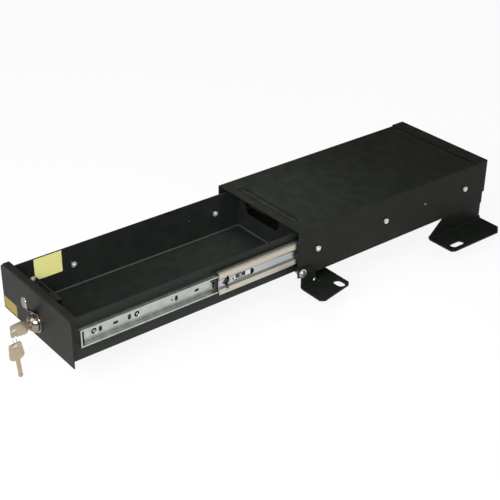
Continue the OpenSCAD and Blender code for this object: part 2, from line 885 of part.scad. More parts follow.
// Ball cages: a strip over and one under, with a round pocket for each ball
function ball_count(len) = floor((len - cage_w) / ball_pitch) + 1;
function ball_ys(y0, len) = [
    for (i = [0 : ball_count(len) - 1]) y0 + len / 2 + (i - (ball_count(len) - 1) / 2) * ball_pitch
];

module cage(y0, len, u, v, r) {
    color(warm_zinc) translate([tray_half, 0, slide_z]) for (m = [0, 1]) mirror([0, 0, m]) difference() {
        translate([u - cage_w / 2, y0, v - cage_t / 2]) cube([cage_w, len, cage_t]);
        for (y = ball_ys(y0, len)) translate([u, y, v - cage_t]) cylinder(h = 2 * cage_t, r = r + snug * 2);
    }
}

module balls(y0, len, u, v, r) {
    color(chrome) both_sides() translate([tray_half, 0, slide_z])
        for (m = [-1, 1], y = ball_ys(y0, len)) translate([u, y, m * v]) sphere(r);
}

module outer_cage_right() { cage(outer_cage_y, outer_cage_l, outer_ball_u, outer_ball_v, outer_ball_r); }
module outer_cage_left() { mirror([1, 0, 0]) outer_cage_right(); }
module outer_balls() { balls(outer_cage_y, outer_cage_l, outer_ball_u, outer_ball_v, outer_ball_r); }
module inner_cage_right() { cage(inner_cage_y, inner_cage_l, inner_ball_u, inner_ball_v, inner_ball_r); }
module inner_cage_left() { mirror([1, 0, 0]) inner_cage_right(); }
module inner_balls() { balls(inner_cage_y, inner_cage_l, inner_ball_u, inner_ball_v, inner_ball_r); }

// Release lever: turns on a pin of the inner member
module release_lever(s) {
    color([0.15, 0.15, 0.16]) on_side(s) screw_place(lever_y) difference() {
        along_x(tray_half + lever_u, lever_t) {
            slot_outline(lever_hub_l, lever_hub_h);
            translate([-lever_front, -lever_h / 2]) square([lever_front, lever_h]);
            translate([-lever_front, -lever_drop]) square([lever_post, lever_drop + lever_lift]);
            translate([-lever_front - lever_hook, lever_lift - lever_h])
                square([lever_hook + past, lever_h]);
            translate([-lever_front - lever_hook, lever_lift - lever_h / 2]) circle(lever_h / 2);
        }
        bar_x(tray_half + lever_u - past, lever_t + 2 * past, lever_pin_r + lever_fit);
    }
}
module release_lever_right() { release_lever(1); }
module release_lever_left() { release_lever(-1); }

// Drawer tray: floor, sides and back, with tabs at the front
module drawer_tray() {
    tray_l = tray_end - tray_y;
    wall_h = tray_top - tray_z;
    color(black) difference() {
        union() {
            along_y(tray_y, tray_l) difference() {
                round_rect([-tray_half, tray_z], [2 * tray_half, wall_h + 2 * bend_r], bend_r);
                round_rect([sheet - tray_half, tray_z + sheet],
                    [2 * (tray_half - sheet), wall_h + 2 * bend_r],
                    bend_r - sheet);
                translate([-housing_w, tray_top]) square([2 * housing_w, housing_h]);
            }
            translate([sheet - tray_half, tray_end - sheet, tray_z + sheet / 2])
                cube([2 * (tray_half - sheet), sheet, wall_h - sheet / 2]);
            both_sides() translate([tray_half - sheet - tab_w, tray_y, tray_z + 3 * sheet])
                cube([tab_w + sheet / 2, sheet, wall_h - 6 * sheet]);
        }
        translate([0, tray_end + past, tray_z + sheet + slot_up]) rotate([90, 0, 0])
            linear_extrude(sheet + 2 * past) translate([-slot_off, 0]) slot_outline(slot_l, slot_h);
        both_sides() {
            for (y = inner_screws) inner_screw_hole(inner_y + y);
            screw_place(inner_y + inner_pip) bar_x(tray_half - 2 * sheet, 3 * sheet, pip_r + snug);
        }
    }
}

// Drawer front: a plate with rounded upper corners, folded back into a flange between them
module drawer_front() {
    flange_half = front_half - front_corner;
    face_top = front_top - bend_r;
    color(black) difference() {
        union() {
            along_y(face_y, sheet) {
                round_rect([-front_half, front_z], [2 * front_half, face_top - front_z], front_corner);
                translate([-front_half, front_z]) square([2 * front_half, 2 * front_corner]);
            }
            along_x(-flange_half, 2 * flange_half) intersection() {
                difference() {
                    round_rect([face_y, front_z], [2 * front_flange, front_top - front_z], bend_r);
                    round_rect([face_y + sheet, front_z - past],
                        [2 * front_flange, front_top - sheet - front_z + past],
                        bend_r - sheet);
                }
                translate([face_y, face_top - past]) square([front_flange, bend_r + 2 * past]);
            }
        }
        lock_hole(face_y - past, sheet + 2 * past);
    }
}

// The lock's barrel: round with two flats, from y0
module barrel(y0, len, play) {
    translate([0, 0, lock_z]) intersection() {
        bar_y(y0, len, barrel_r + play);
        translate([-barrel_r * 2, y0, -barrel_flats / 2 - play])
            cube([barrel_r * 4, len, barrel_flats + 2 * play]);
    }
}

module lock_hole(y0, len) {
    barrel(y0, len, 0.15);
}

// Guard: a plate over and behind the lock, with the slot that the cam swings up through
module lock_guard() {
    guard_w = guard_left + guard_right;
    color(black) difference() {
        union() {
            translate([-guard_left, tray_y, guard_top - thin_sheet])
                cube([guard_w, guard_back_y - tray_y + thin_sheet, thin_sheet]);
            translate([-guard_left, guard_back_y, guard_z]) cube([guard_w, thin_sheet, guard_top - guard_z]);
            translate([-guard_left, tray_y, guard_top - 2 * tab_w / 3])
                cube([guard_w, thin_sheet, 2 * tab_w / 3]);
        }
        translate([-cam_reach / 2, cam_y - cam_gap, guard_top - thin_sheet - past])
            cube([cam_reach / 2 + cam_tip_r + cam_gap + 0.5, cam_t + 2 * cam_gap, thin_sheet + 2 * past]);
        translate([0, 0, lock_z]) bar_y(guard_back_y - past, thin_sheet + 2 * past, cam_washer_r + cam_gap);
    }
}

module rear_bumpers() {
    color([0.08, 0.08, 0.08]) both_sides() translate([tray_half - 3 * bumper_r, 0, tray_z + 2 * bumper_r])
        bar_y(tray_end, bumper_t, bumper_r);
}

module label_tray() {
    right_y = tray_y + tray_label_y + tray_label.x;
    color(yellow) translate([sheet - tray_half, 0, 0]) along_x(0, label_t)
        translate([0, tray_top - tray_label_top])
        polygon([
            [tray_y + tray_label_y, 0], [right_y, 0], [right_y, -tray_label.y],
            [tray_y + tray_label_y + tray_label_cut.x, -tray_label.y],
            [tray_y + tray_label_y, tray_label_cut.y - tray_label.y],
        ]);
}

module label_front() {
    color(yellow) translate([front_label_in + bend_r - front_half - 2, face_y - label_t,
        front_z + front_label_up])
        cube([front_label.x, label_t, front_label.y]);
}

// Lock cylinder: domed flange in front of the pull, barrel through the front, round bore for the plug
module lock_cylinder() {
    head_l = pull_y - nose_y;
    nose_r = lock_head_r - lock_bulge;
    dome_back = (lock_head_r ^ 2 + lock_rim ^ 2 - nose_r ^ 2 - head_l ^ 2) / (2 * (head_l - lock_rim));
    dome_r = sqrt(nose_r ^ 2 + (head_l + dome_back) ^ 2);
    color(chrome) difference() {
        union() {
            intersection() {
                translate([0, 0, lock_z]) bar_y(nose_y, head_l, lock_head_r);
                translate([0, pull_y + dome_back, lock_z]) rotate([90, 0, 0]) sphere(dome_r);
            }
            barrel(pull_y - past, barrel_end - pull_y + past, 0);
        }
        translate([0, 0, lock_z]) bar_y(nose_y - past, barrel_end - nose_y + 2 * past, plug_r + snug);
    }
}

// Finger pull: base under the lock's flange, S-shaped tongue and a rounded paddle
slope_a = 47;
bend_1 = 5;
bend_2 = 6;
function arc_points(c, r, from, to, steps) = [
    for (i = [0 : steps]) let (a = from + (to - from) * i / steps) c + r * [cos(a), sin(a)]
];

// One side of the tongue's section as (distance off the front, height over the lock), offset d outward
function tongue_side(d) = let (
    rise_0 = pull_base_r - 1.6,
    mid = pull_t / 2,
    drop_1 = bend_1 * (1 - cos(slope_a)),
    drop_2 = bend_2 * (1 - cos(slope_a)),
    run = (pull_reach - mid - drop_1 - drop_2) / sin(slope_a),
    c1 = [mid + bend_1, rise_0],
    p1 = c1 + bend_1 * [-cos(slope_a), sin(slope_a)],
    p2 = p1 + run * [sin(slope_a), cos(slope_a)],
    c2 = p2 + bend_2 * [-cos(slope_a), sin(slope_a)]
) concat(
    [[mid - d, 0]],
    arc_points(c1, bend_1 + d, 180, 180 - slope_a, 5),
    arc_points(c2, bend_2 - d, -slope_a, 0, 6),
    [[c2.x + bend_2 - d, pull_rise]]
);

module finger_pull() {
    neck_w = pull_w * 0.8;
    side_a = tongue_side(pull_t / 2);
    side_b = tongue_side(-pull_t / 2);
    paddle_r = pull_w / 2;
    color(chrome) difference() {
        union() {
            translate([0, 0, lock_z]) bar_y(pull_y, pull_t, pull_base_r);
            intersection() {
                translate([0, face_y, lock_z]) mirror([0, 1, 0]) along_x(-pull_w / 2, pull_w)
                    polygon(concat(side_a, [for (i = [len(side_b) - 1 : -1 : 0]) side_b[i]]));
                along_y(face_y - 2 * pull_reach, 3 * pull_reach) translate([0, lock_z]) {
                    translate([-neck_w / 2, 0]) square([neck_w, pull_rise - paddle_r]);
                    translate([0, pull_rise - paddle_r]) circle(paddle_r);
                    translate([0, pull_rise - paddle_r]) polygon([
                        [-paddle_r, 0], [-neck_w / 2, -paddle_r * 1.3], [neck_w / 2, -paddle_r * 1.3],
                            [paddle_r, 0],
                    ]);
                }
            }
        }
        lock_hole(pull_y - past, pull_t + 2 * past);
    }
}

module lock_nut() {
    color(zinc) translate([0, tray_y, lock_z]) difference() {
        rotate([-90, 0, 0]) cylinder(h = lock_nut_t, r = lock_nut_flats / 2 / cos(30), $fn = 6);
        bar_y(-past, lock_nut_t + 2 * past, barrel_r + snug);
    }
}

// Lock plug: round in the cylinder, square in the cam, with the keyway in its nose
module lock_plug() {
    color(chrome) translate([0, 0, lock_z]) difference() {
        union() {
            bar_y(plug_y, cam_y - plug_y, plug_r);
            translate([-square_w / 2, cam_y - past, -square_w / 2])
                cube([square_w, cam_t + past - 0.2, square_w]);
        }
        translate([-keyway_w / 2, plug_y - past, -keyway_h / 2])
            cube([keyway_w, keyway_end - plug_y + past, keyway_h]);
        bar_y(cam_y + cam_t - cam_screw_l - 0.5, cam_screw_l + past, cam_screw_r + snug);
    }
}

// Cam: a flat arm to the left at rest
module lock_cam() {
    tip_x = cam_reach - cam_tip_r;
    color(zinc) difference() {
        translate([0, 0, lock_z]) along_y(cam_y, cam_t) {
            circle(cam_hub_r);
            translate([-tip_x, 0]) circle(cam_tip_r);
            polygon([[0, -cam_hub_r], [0, cam_hub_r], [-tip_x, cam_tip_r], [-tip_x, -cam_tip_r]]);
        }
        translate([-square_w / 2 - snug, cam_y - past, lock_z - square_w / 2 - snug])
            cube([square_w + 2 * snug, cam_t + 2 * past, square_w + 2 * snug]);
    }
}

module cam_washer() {
    color(zinc) translate([0, 0, lock_z]) difference() {
        bar_y(cam_y + cam_t, cam_washer_t, cam_washer_r);
        bar_y(cam_y + cam_t - past, cam_washer_t + 2 * past, cam_screw_r + 2 * snug);
    }
}

module cam_screw() {
    head_y = cam_y + cam_t + cam_washer_t;
    color(zinc) translate([0, 0, lock_z]) difference() {
        union() {
            bar_y(head_y - cam_washer_t - cam_screw_l, cam_washer_t + cam_screw_l + past, cam_screw_r);
            bar_y(head_y, cam_head_t, cam_head_r);
        }
        for (a = [0, 90]) rotate([0, a, 0]) translate([-2, head_y + cam_head_t / 2, -0.4])
            cube([4, cam_head_t, 0.8]);
    }
}

// A key lying flat: bow up from the origin along Y, blade down, with its hole and its cuts
module key_outline() {
    half = bow_w / 2;
    blade = blade_w / 2;
    cuts = [5, 9, 13, 17, 21];
    depths = [0.9, 1.4, 0.7, 1.5, 1.1];
    difference() {
        polygon([
            [-blade, 0], [-half * 0.62, 1.2], [-half * 0.95, 4], [-half, 7.5],
            [-half * 0.84, bow_l - 1.6], [-half * 0.66, bow_l], [half * 0.66, bow_l],
                [half * 0.84, bow_l - 1.6],
            [half, 7.5], [half * 0.95, 4], [half * 0.62, 1.2], [blade, 0],
            [blade, 2.5 - blade_l], [0.8, -blade_l], [-0.8, -blade_l], [-blade, 2.5 - blade_l],
        ]);
        translate([0, bow_l - key_hole_in]) circle(key_hole_r);
        for (i = [0 : len(cuts) - 1], s = [-1, 1]) if (cuts[i] < blade_l - 4)
            polygon([
                [s * (blade + past), -cuts[i] - 1.4 - past], [s * (blade - depths[i]), -cuts[i] - 0.4],
                [s * (blade - depths[i]), -cuts[i] + 0.4], [s * (blade + past), -cuts[i] + 1.4 + past],
            ]);
    }
}

module key_in_lock() {
    color(nickel) translate([-key_t / 2, shoulder_y, lock_z]) mirror([0, 1, 0])
        rotate([90, 0, 90]) linear_extrude(key_t) rotate(-90) key_outline();
}

module key_ring() {
    color(zinc) translate([0, hole_y, lock_z - ring_r]) rotate([90, 0, -ring_turn])
        rotate_extrude($fn = 96) translate([ring_r, 0]) circle(wire_r, $fn = 24);
}

module spare_key() {
    color(nickel) translate([-key_t / 2, hole_y, spare_hole_z]) rotate([spare_lean, 0, 0])
        translate([0, 0, key_hole_in - bow_l]) rotate([90, 0, 90]) linear_extrude(key_t) key_outline();
}

housing_shell();
housing_floor();
rear_cover();
cover_rivets();
lock_strike();
front_bracket_right();
front_bracket_left();
rear_bracket_right();
rear_bracket_left();
bracket_bolts();
bracket_washers();
bracket_nuts();
bracket_rivets();
slide_outer_right();
slide_outer_left();
housing_screws();
housing_nuts();
slide_middle_right();
slide_middle_left();
outer_cage_right();
outer_cage_left();
outer_balls();
inner_cage_right();
inner_cage_left();
inner_balls();
drawer_tray();
drawer_front();
lock_guard();
slide_inner_right();
slide_inner_left();
tray_screws();
tray_nuts();
rear_bumpers();
label_tray();
label_front();
lock_cylinder();
finger_pull();
lock_nut();
release_lever_right();
release_lever_left();
lock_plug();
lock_cam();
cam_washer();
cam_screw();
key_in_lock();
key_ring();
spare_key();
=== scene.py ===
import math

import bmesh
import bpy
from mathutils import Matrix, Vector


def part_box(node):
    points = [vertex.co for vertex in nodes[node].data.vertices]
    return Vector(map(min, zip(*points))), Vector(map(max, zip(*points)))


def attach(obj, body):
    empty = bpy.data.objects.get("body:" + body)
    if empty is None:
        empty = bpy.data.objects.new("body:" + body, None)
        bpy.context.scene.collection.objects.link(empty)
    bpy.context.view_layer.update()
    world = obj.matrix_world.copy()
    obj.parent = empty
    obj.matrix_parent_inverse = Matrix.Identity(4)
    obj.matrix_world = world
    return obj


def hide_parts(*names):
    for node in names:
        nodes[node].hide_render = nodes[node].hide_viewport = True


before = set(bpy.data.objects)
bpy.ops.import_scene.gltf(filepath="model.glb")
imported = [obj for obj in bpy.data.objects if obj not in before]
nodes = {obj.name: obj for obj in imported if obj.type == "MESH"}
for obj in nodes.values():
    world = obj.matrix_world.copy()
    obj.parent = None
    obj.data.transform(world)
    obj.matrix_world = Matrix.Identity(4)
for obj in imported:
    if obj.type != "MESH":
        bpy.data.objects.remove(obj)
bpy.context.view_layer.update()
mm = 0.001


def colour(text):  # sRGB hex to linear RGBA
    parts = [int(text[i:i + 2], 16) / 255 for i in (1, 3, 5)]
    return tuple(c / 12.92 if c <= 0.04045 else ((c + 0.055) / 1.055) ** 2.4 for c in parts) + (1.0,)


def addNode(tree, kind, inputs=None, **settings):
    # Adds a node and its settings. An input takes a value, a socket, a node's first output, or a
    # list of these where several links go in
    node = tree.nodes.new(kind)
    for name, value in settings.items():
        setattr(node, name, value)
    for key, value in (inputs or {}).items():
        for one in value if isinstance(value, list) else [value]:
            if isinstance(one, bpy.types.Node):
                one = one.outputs[0]
            if isinstance(one, bpy.types.NodeSocket):
                tree.links.new(one, node.inputs[key])
            else:
                node.inputs[key].default_value = one
    return node


def calc(tree, operation, *values):
    return addNode(tree, "ShaderNodeMath", dict(enumerate(values)), operation=operation)


def newMaterial(name):
    material = bpy.data.materials.new(name)
    material.use_nodes = True
    material.node_tree.nodes.clear()
    return material, material.node_tree


def closeMaterial(tree, shader):
    surface = addNode(tree, "ShaderNodeBsdfPrincipled", shader)
    addNode(tree, "ShaderNodeOutputMaterial", {"Surface": surface})


def place(tree, stretch=(1, 1, 1)):
    coords = addNode(tree, "ShaderNodeTexCoord")
    return addNode(tree, "ShaderNodeMapping", {"Vector": coords.outputs["Object"], "Scale": stretch})


def noise(tree, spot, size, detail):
    return addNode(tree, "ShaderNodeTexNoise", {"Vector": spot, "Scale": 1 / size, "Detail": detail})


def ramp(tree, value, stops):
    node = addNode(tree, "ShaderNodeValToRGB", {0: value})
    for i, (at, tone) in enumerate(stops):
        stop = node.color_ramp.elements[i] if i < 2 else node.color_ramp.elements.new(at)
        stop.position = at
        stop.color = colour(tone)
    return node


def spread(tree, value, low, high):
    # A noise lies mostly between 0.3 and 0.7; this takes that range to low and high
    return addNode(tree, "ShaderNodeMapRange", {0: value, 1: 0.3, 2: 0.7, 3: low, 4: high})


def bumps(tree, height, strength, depth):
    return addNode(tree, "ShaderNodeBump", {"Height": height, "Strength": strength, "Distance": depth})


powderCoatSizes = {
    "dark": "#20221e", "light": "#292b26", "roughness": 0.5, "shine": 0.08,
    "grain": 1.6 * mm, "mottle": 18 * mm, "bump": 0.10,
}


def powderCoat(name, sizes):
    # Satin powder coat, baked on steel: an even skin with a fine orange peel that softens every highlight
    material, tree = newMaterial(name)
    spot, rough = place(tree), sizes["roughness"]
    mottle = noise(tree, spot, sizes["mottle"], 3.0)
    grain = noise(tree, spot, sizes["grain"], 2.0)
    half = calc(tree, "MULTIPLY", calc(tree, "ADD", mottle, grain), 0.5)
    closeMaterial(tree, {
        "Base Color": ramp(tree, half, [(0.36, sizes["dark"]), (0.64, sizes["light"])]),
        "Roughness": spread(tree, mottle, rough - 0.04, rough + 0.06),
        "Normal": bumps(tree, grain, sizes["bump"], 0.2 * mm),
        "IOR": 1.5, "Specular IOR Level": sizes["shine"]})
    return material


def platedSteel(name, sizes):
    # Zinc-plated steel: pale metal with a faint grain along the strip and cloudy patches from the bath
    material, tree = newMaterial(name)
    cloud = noise(tree, place(tree), sizes["cloud"], 4.0)
    lines = noise(tree, place(tree, sizes["stretch"]), sizes["line"], 2.0)
    closeMaterial(tree, {
        "Base Color": ramp(tree, cloud, [(0.32, sizes["dark"]), (0.68, sizes["light"])]),
        "Roughness": spread(tree, lines, sizes["roughness"] - 0.05, sizes["roughness"] + 0.07),
        "Normal": bumps(tree, lines, 0.06, 0.1 * mm), "Metallic": sizes["metal"]})
    return material


def speckled(name, sizes, shader):
    # Any other finish: two close tones in fine specks, with a fine bump
    material, tree = newMaterial(name)
    specks = noise(tree, place(tree), sizes["speck"], 3.0)
    closeMaterial(tree, {
        "Base Color": ramp(tree, specks, [(0.3, sizes["dark"]), (0.7, sizes["light"])]),
        "Roughness": spread(tree, specks, sizes["roughness"] * 0.85, sizes["roughness"] * 1.2),
        "Normal": bumps(tree, specks, sizes["bump"], 0.1 * mm), **shader})
    return material


def reflectionBandedStrip(name, sizes):
    # Zinc-plated strip rolled to a profile: bands of tone by height are painted reflection and shade,
    # standing in for how each face of its pressed panel catches the light
    material, tree = newMaterial(name)
    spot = place(tree)
    split = addNode(tree, "ShaderNodeSeparateXYZ", {0: spot})
    height = addNode(tree, "ShaderNodeMapRange", {0: split.outputs[2], 1: sizes["low"], 2: sizes["high"]})
    reflectionBands = ramp(tree, height, [(at, sizes[tone]) for at, tone in sizes["reflectionBands"]])
    fade = spread(tree, noise(tree, spot, sizes["cloud"], 4.0), 0.0, sizes["share"])
    mixed = addNode(tree, "ShaderNodeMix", {"Factor": fade, 6: reflectionBands, 7: colour(sizes["warm"])},
                    data_type="RGBA")
    closeMaterial(tree, {"Base Color": mixed.outputs[2], "Metallic": 1.0, "Roughness": sizes["roughness"]})
    return material


housingCoat = powderCoat("blackPowderCoatHousing", powderCoatSizes)
frontCoat = powderCoat("blackPowderCoatFront", {
    **powderCoatSizes, "dark": "#20201d", "light": "#282825", "shine": 0.2})
# The tray's coat: the housing's black, set darker as painted shade inside the tray
trayCoatPaintedShade = powderCoat("blackPowderCoatTray", {
    **powderCoatSizes, "dark": "#1b1f1c", "light": "#232723", "shine": 0.26})
# The brackets' coat: the same black, set darker as painted shade under the housing
footCoatPaintedShade = powderCoat("blackPowderCoatFeet", {
    **powderCoatSizes, "dark": "#131713", "light": "#1a1e1a", "shine": 0.16})
# Painted light in the coat: the seams' fillets, where the coat pools thick, are coloured paler as a painted
# highlight, and the creases are coloured dark as painted shade
seamCoatPaintedHighlight = powderCoat("blackPowderCoatSeamsPaintedHighlight", {
    **powderCoatSizes, "dark": "#353935", "light": "#434743", "roughness": 0.36, "shine": 0.5})
creaseCoatPaintedShade = powderCoat("blackPowderCoatCreasesPaintedShade", {
    **powderCoatSizes, "dark": "#0b0c0a", "light": "#131412", "roughness": 0.7, "shine": 0.03})

stripSizes = {"cloud": 14 * mm, "line": 0.9 * mm, "stretch": (1, 0.04, 1), "metal": 1.0}
boltSizes = {"cloud": 4 * mm, "line": 0.6 * mm, "stretch": (1, 1, 1), "metal": 0.6}
# Tones by height, as painted reflection and shade: warm on the shoulders, cool on the panel, green-grey on
# the slope below it
middleStripReflectionSizes = {
    "low": 28 * mm, "high": 52 * mm, "roughness": 0.36, "cloud": 16 * mm, "share": 0.3,
    "warm": "#d6cfc0", "cool": "#c4c9cd", "green": "#949e96",
    "reflectionBands": [(0.0, "warm"), (0.12, "warm"), (0.17, "green"), (0.25, "green"), (0.31, "cool"),
              (0.69, "cool"), (0.74, "warm"), (1.0, "warm")],
}
zincStrip = platedSteel("zincPlatedStrip", {
    **stripSizes, "dark": "#bcc1bc", "light": "#d2d6d0", "roughness": 0.34})
warmStrip = platedSteel("zincPlatedStripWarm", {
    **stripSizes, "dark": "#bcb8ab", "light": "#d0cabb", "roughness": 0.38, "cloud": 16 * mm})
middleStripPaintedReflection = reflectionBandedStrip("zincPlatedStripPaintedReflection", middleStripReflectionSizes)
# The outer members' strip, coloured dark grey as painted shade: it always sits in the housing's shade
shadedStrip = platedSteel("zincPlatedStripShaded", {
    **stripSizes, "dark": "#3c403d", "light": "#505450", "roughness": 0.42})
# Screws, nuts, washers, cam and leaf springs: a bright clear zinc
zincFastener = platedSteel("zincPlatedFasteners", {
    **boltSizes, "dark": "#d8dad8", "light": "#ececea", "roughness": 0.36})
# Bolts, their nuts and the pips: zinc over a rolled blank, duller than the screws
boltZinc = platedSteel("zincPlatedBolts", {
    **boltSizes, "dark": "#85847f", "light": "#a3a29c", "roughness": 0.3, "cloud": 3 * mm, "metal": 1.0})
# Screw heads coloured dark as painted shade: the shade in their countersunk recesses
headPaintedShade = speckled("screwHeadsPaintedShade", {
    "dark": "#2b2d2c", "light": "#454746", "roughness": 0.4, "speck": 1.2 * mm,
    "bump": 0.05}, {"Metallic": 1.0})
# Polished bearing steel and spring wire: bright, with only a trace of drawing marks
brightSteel = speckled("polishedBearingSteel", {
    "dark": "#b4b4b4", "light": "#c9c9ca", "roughness": 0.16, "speck": 0.8 * mm,
    "bump": 0.03}, {"Metallic": 1.0})
# Chrome plate over a zinc die casting: mirror-bright, slightly wavy; its warm, darkened grey is painted
# reflection of a dim brownish room
chromePlate = speckled("chromePlatedCasting", {
    "dark": "#8e857b", "light": "#a69c92", "roughness": 0.1, "speck": 3 * mm,
    "bump": 0.03}, {"Metallic": 1.0})
# Nickel-plated brass key blank, stamped: warm grey metal with handling wear
nickelBrass = speckled("nickelPlatedBrass", {
    "dark": "#b6a78f", "light": "#d0c0a6", "roughness": 0.34, "speck": 2.5 * mm,
    "bump": 0.06}, {"Metallic": 1.0})
# Bare vinyl label, printed solid yellow: flat and smooth, with a faint mottle
yellowVinyl = speckled("yellowVinyl", {
    "dark": "#f2ee92", "light": "#faf6a6", "roughness": 0.5, "speck": 2.2 * mm, "bump": 0.04}, {"IOR": 1.46})
# The front label: the same yellow vinyl, coloured darker as painted shade on the drawer's front face
yellowVinylPaintedShade = speckled("yellowVinylShaded", {
    "dark": "#93823a", "light": "#a28e42", "roughness": 0.5, "speck": 2.2 * mm, "bump": 0.04}, {"IOR": 1.46})
# Moulded black rubber with talc bloom
moulded = speckled("mouldedRubber", {
    "dark": "#171717", "light": "#222221", "roughness": 0.8, "speck": 1.2 * mm, "bump": 0.2}, {"IOR": 1.5})
# Moulded black acetal, which slides without grease
acetal = speckled("mouldedAcetal", {
    "dark": "#1c1c1d", "light": "#262627", "roughness": 0.42, "speck": 1.5 * mm, "bump": 0.08}, {"IOR": 1.48})

finishes = {
    housingCoat: ["housing_shell", "housing_floor", "rear_cover", "cover_rivets"],
    frontCoat: ["drawer_front"],
    trayCoatPaintedShade: ["drawer_tray", "lock_guard", "lock_strike"],
    footCoatPaintedShade: ["front_bracket_right", "front_bracket_left", "rear_bracket_right", "rear_bracket_left",
               "bracket_rivets"],
    zincStrip: ["slide_inner_right", "slide_inner_left"],
    shadedStrip: ["slide_outer_right", "slide_outer_left"],
    middleStripPaintedReflection: ["slide_middle_right", "slide_middle_left"],
    warmStrip: ["outer_cage_right", "outer_cage_left", "inner_cage_right", "inner_cage_left"],
    boltZinc: ["bracket_bolts", "bracket_nuts"],
    zincFastener: ["bracket_washers", "housing_screws", "housing_nuts", "tray_screws", "tray_nuts",
                   "lock_nut", "lock_cam", "cam_washer", "cam_screw"],
    brightSteel: ["outer_balls", "inner_balls", "key_ring"],
    chromePlate: ["lock_cylinder", "finger_pull", "lock_plug"],
    nickelBrass: ["key_in_lock", "spare_key"],
    yellowVinyl: ["label_tray"],
    yellowVinylPaintedShade: ["label_front"],
    moulded: ["rear_bumpers"],
    acetal: ["release_lever_right", "release_lever_left"],
}
for material, names in finishes.items():
    for name in names:
        nodes[name].data.materials.clear()
        nodes[name].data.materials.append(material)
missing = set(nodes) - {n for names in finishes.values() for n in names}
print("materials done, nodes without one:", sorted(missing))


def newTree(name, sockets):
    # A Geometry Nodes tree with named number inputs; its geometry input holds the places
    tree = bpy.data.node_groups.new(name, "GeometryNodeTree")
    tree.interface.new_socket("Places", in_out="INPUT", socket_type="NodeSocketGeometry")
    tree.interface.new_socket("Result", in_out="OUTPUT", socket_type="NodeSocketGeometry")
    for title, value in sockets.items():
        kind = "NodeSocketInt" if isinstance(value, int) else "NodeSocketFloat"
        tree.interface.new_socket(title, in_out="INPUT", socket_type=kind).default_value = value
    return tree, addNode(tree, "NodeGroupInput").outputs


def closeTree(tree, shape, material, headMaterial=None):
    # Ends a tree: real geometry in its material, and faces marked as head in the second one
    real = addNode(tree, "GeometryNodeRealizeInstances", {0: shape})
    coat = addNode(tree, "GeometryNodeSetMaterial", {0: real, "Material": material})
    if headMaterial:
        mark = addNode(tree, "GeometryNodeInputNamedAttribute", {"Name": "head"}, data_type="BOOLEAN")
        coat = addNode(tree, "GeometryNodeSetMaterial", {
            0: coat, "Selection": mark, "Material": headMaterial})
    addNode(tree, "NodeGroupOutput", {0: coat})


def onPlaces(tree, places, shape, outward):
    # The shape's +Z turns away from the middle plane where outward is 1, and towards it where it is -1
    at = addNode(tree, "GeometryNodeInputPosition")
    split = addNode(tree, "ShaderNodeSeparateXYZ", {0: at})
    side = calc(tree, "MULTIPLY", calc(tree, "SIGN", split), outward)
    aim = addNode(tree, "ShaderNodeCombineXYZ", {0: side})
    turn = addNode(tree, "FunctionNodeAlignRotationToVector", {"Vector": aim}, axis="Z")
    return addNode(tree, "GeometryNodeInstanceOnPoints", {
        "Points": places, "Instance": shape, "Rotation": turn})


def lifted(tree, shape, rise):
    shift = addNode(tree, "ShaderNodeCombineXYZ", {2: rise})
    return addNode(tree, "GeometryNodeTransform", {0: shape, "Translation": shift})


def boolean(tree, operation, inputs):
    return addNode(tree, "GeometryNodeMeshBoolean", inputs, operation=operation, solver="EXACT")


def nutTree(material):
    # Hexagon nut: only the outer end of a six-sided prism, with its corners cut back by a cone
    tree, given = newTree("hexNut", {
        "Across Flats": 8 * mm, "Thickness": 4 * mm, "Hole": 2.55 * mm, "Chamfer": 0.1 * mm, "Slope": 0.6,
        "Outward": 1.0})
    thick = given["Thickness"]
    flat = calc(tree, "MULTIPLY", given["Across Flats"], 0.5)
    corner = calc(tree, "DIVIDE", flat, math.cos(math.pi / 6))
    middle = calc(tree, "MULTIPLY", thick, 0.5)
    prism = addNode(tree, "GeometryNodeMeshCylinder", {"Vertices": 6, "Radius": corner, "Depth": thick})
    wide = calc(tree, "ADD", corner, middle)
    low = calc(tree, "SUBTRACT", flat, given["Chamfer"])
    depth = calc(tree, "MULTIPLY", calc(tree, "SUBTRACT", wide, low), given["Slope"])
    cone = addNode(tree, "GeometryNodeMeshCone", {
        "Vertices": 48, "Radius Top": low, "Radius Bottom": wide, "Depth": depth})
    foot = calc(tree, "SUBTRACT", thick, depth)
    body = boolean(tree, "INTERSECT", {"Mesh 2": [lifted(tree, prism, middle), lifted(tree, cone, foot)]})
    bore = addNode(tree, "GeometryNodeMeshCylinder", {
        "Vertices": 28, "Radius": given["Hole"], "Depth": calc(tree, "MULTIPLY", thick, 3.0)})
    nut = boolean(tree, "DIFFERENCE", {"Mesh 1": body, "Mesh 2": lifted(tree, bore, middle)})
    closeTree(tree, onPlaces(tree, given["Places"], nut, given["Outward"]), material)
    return tree


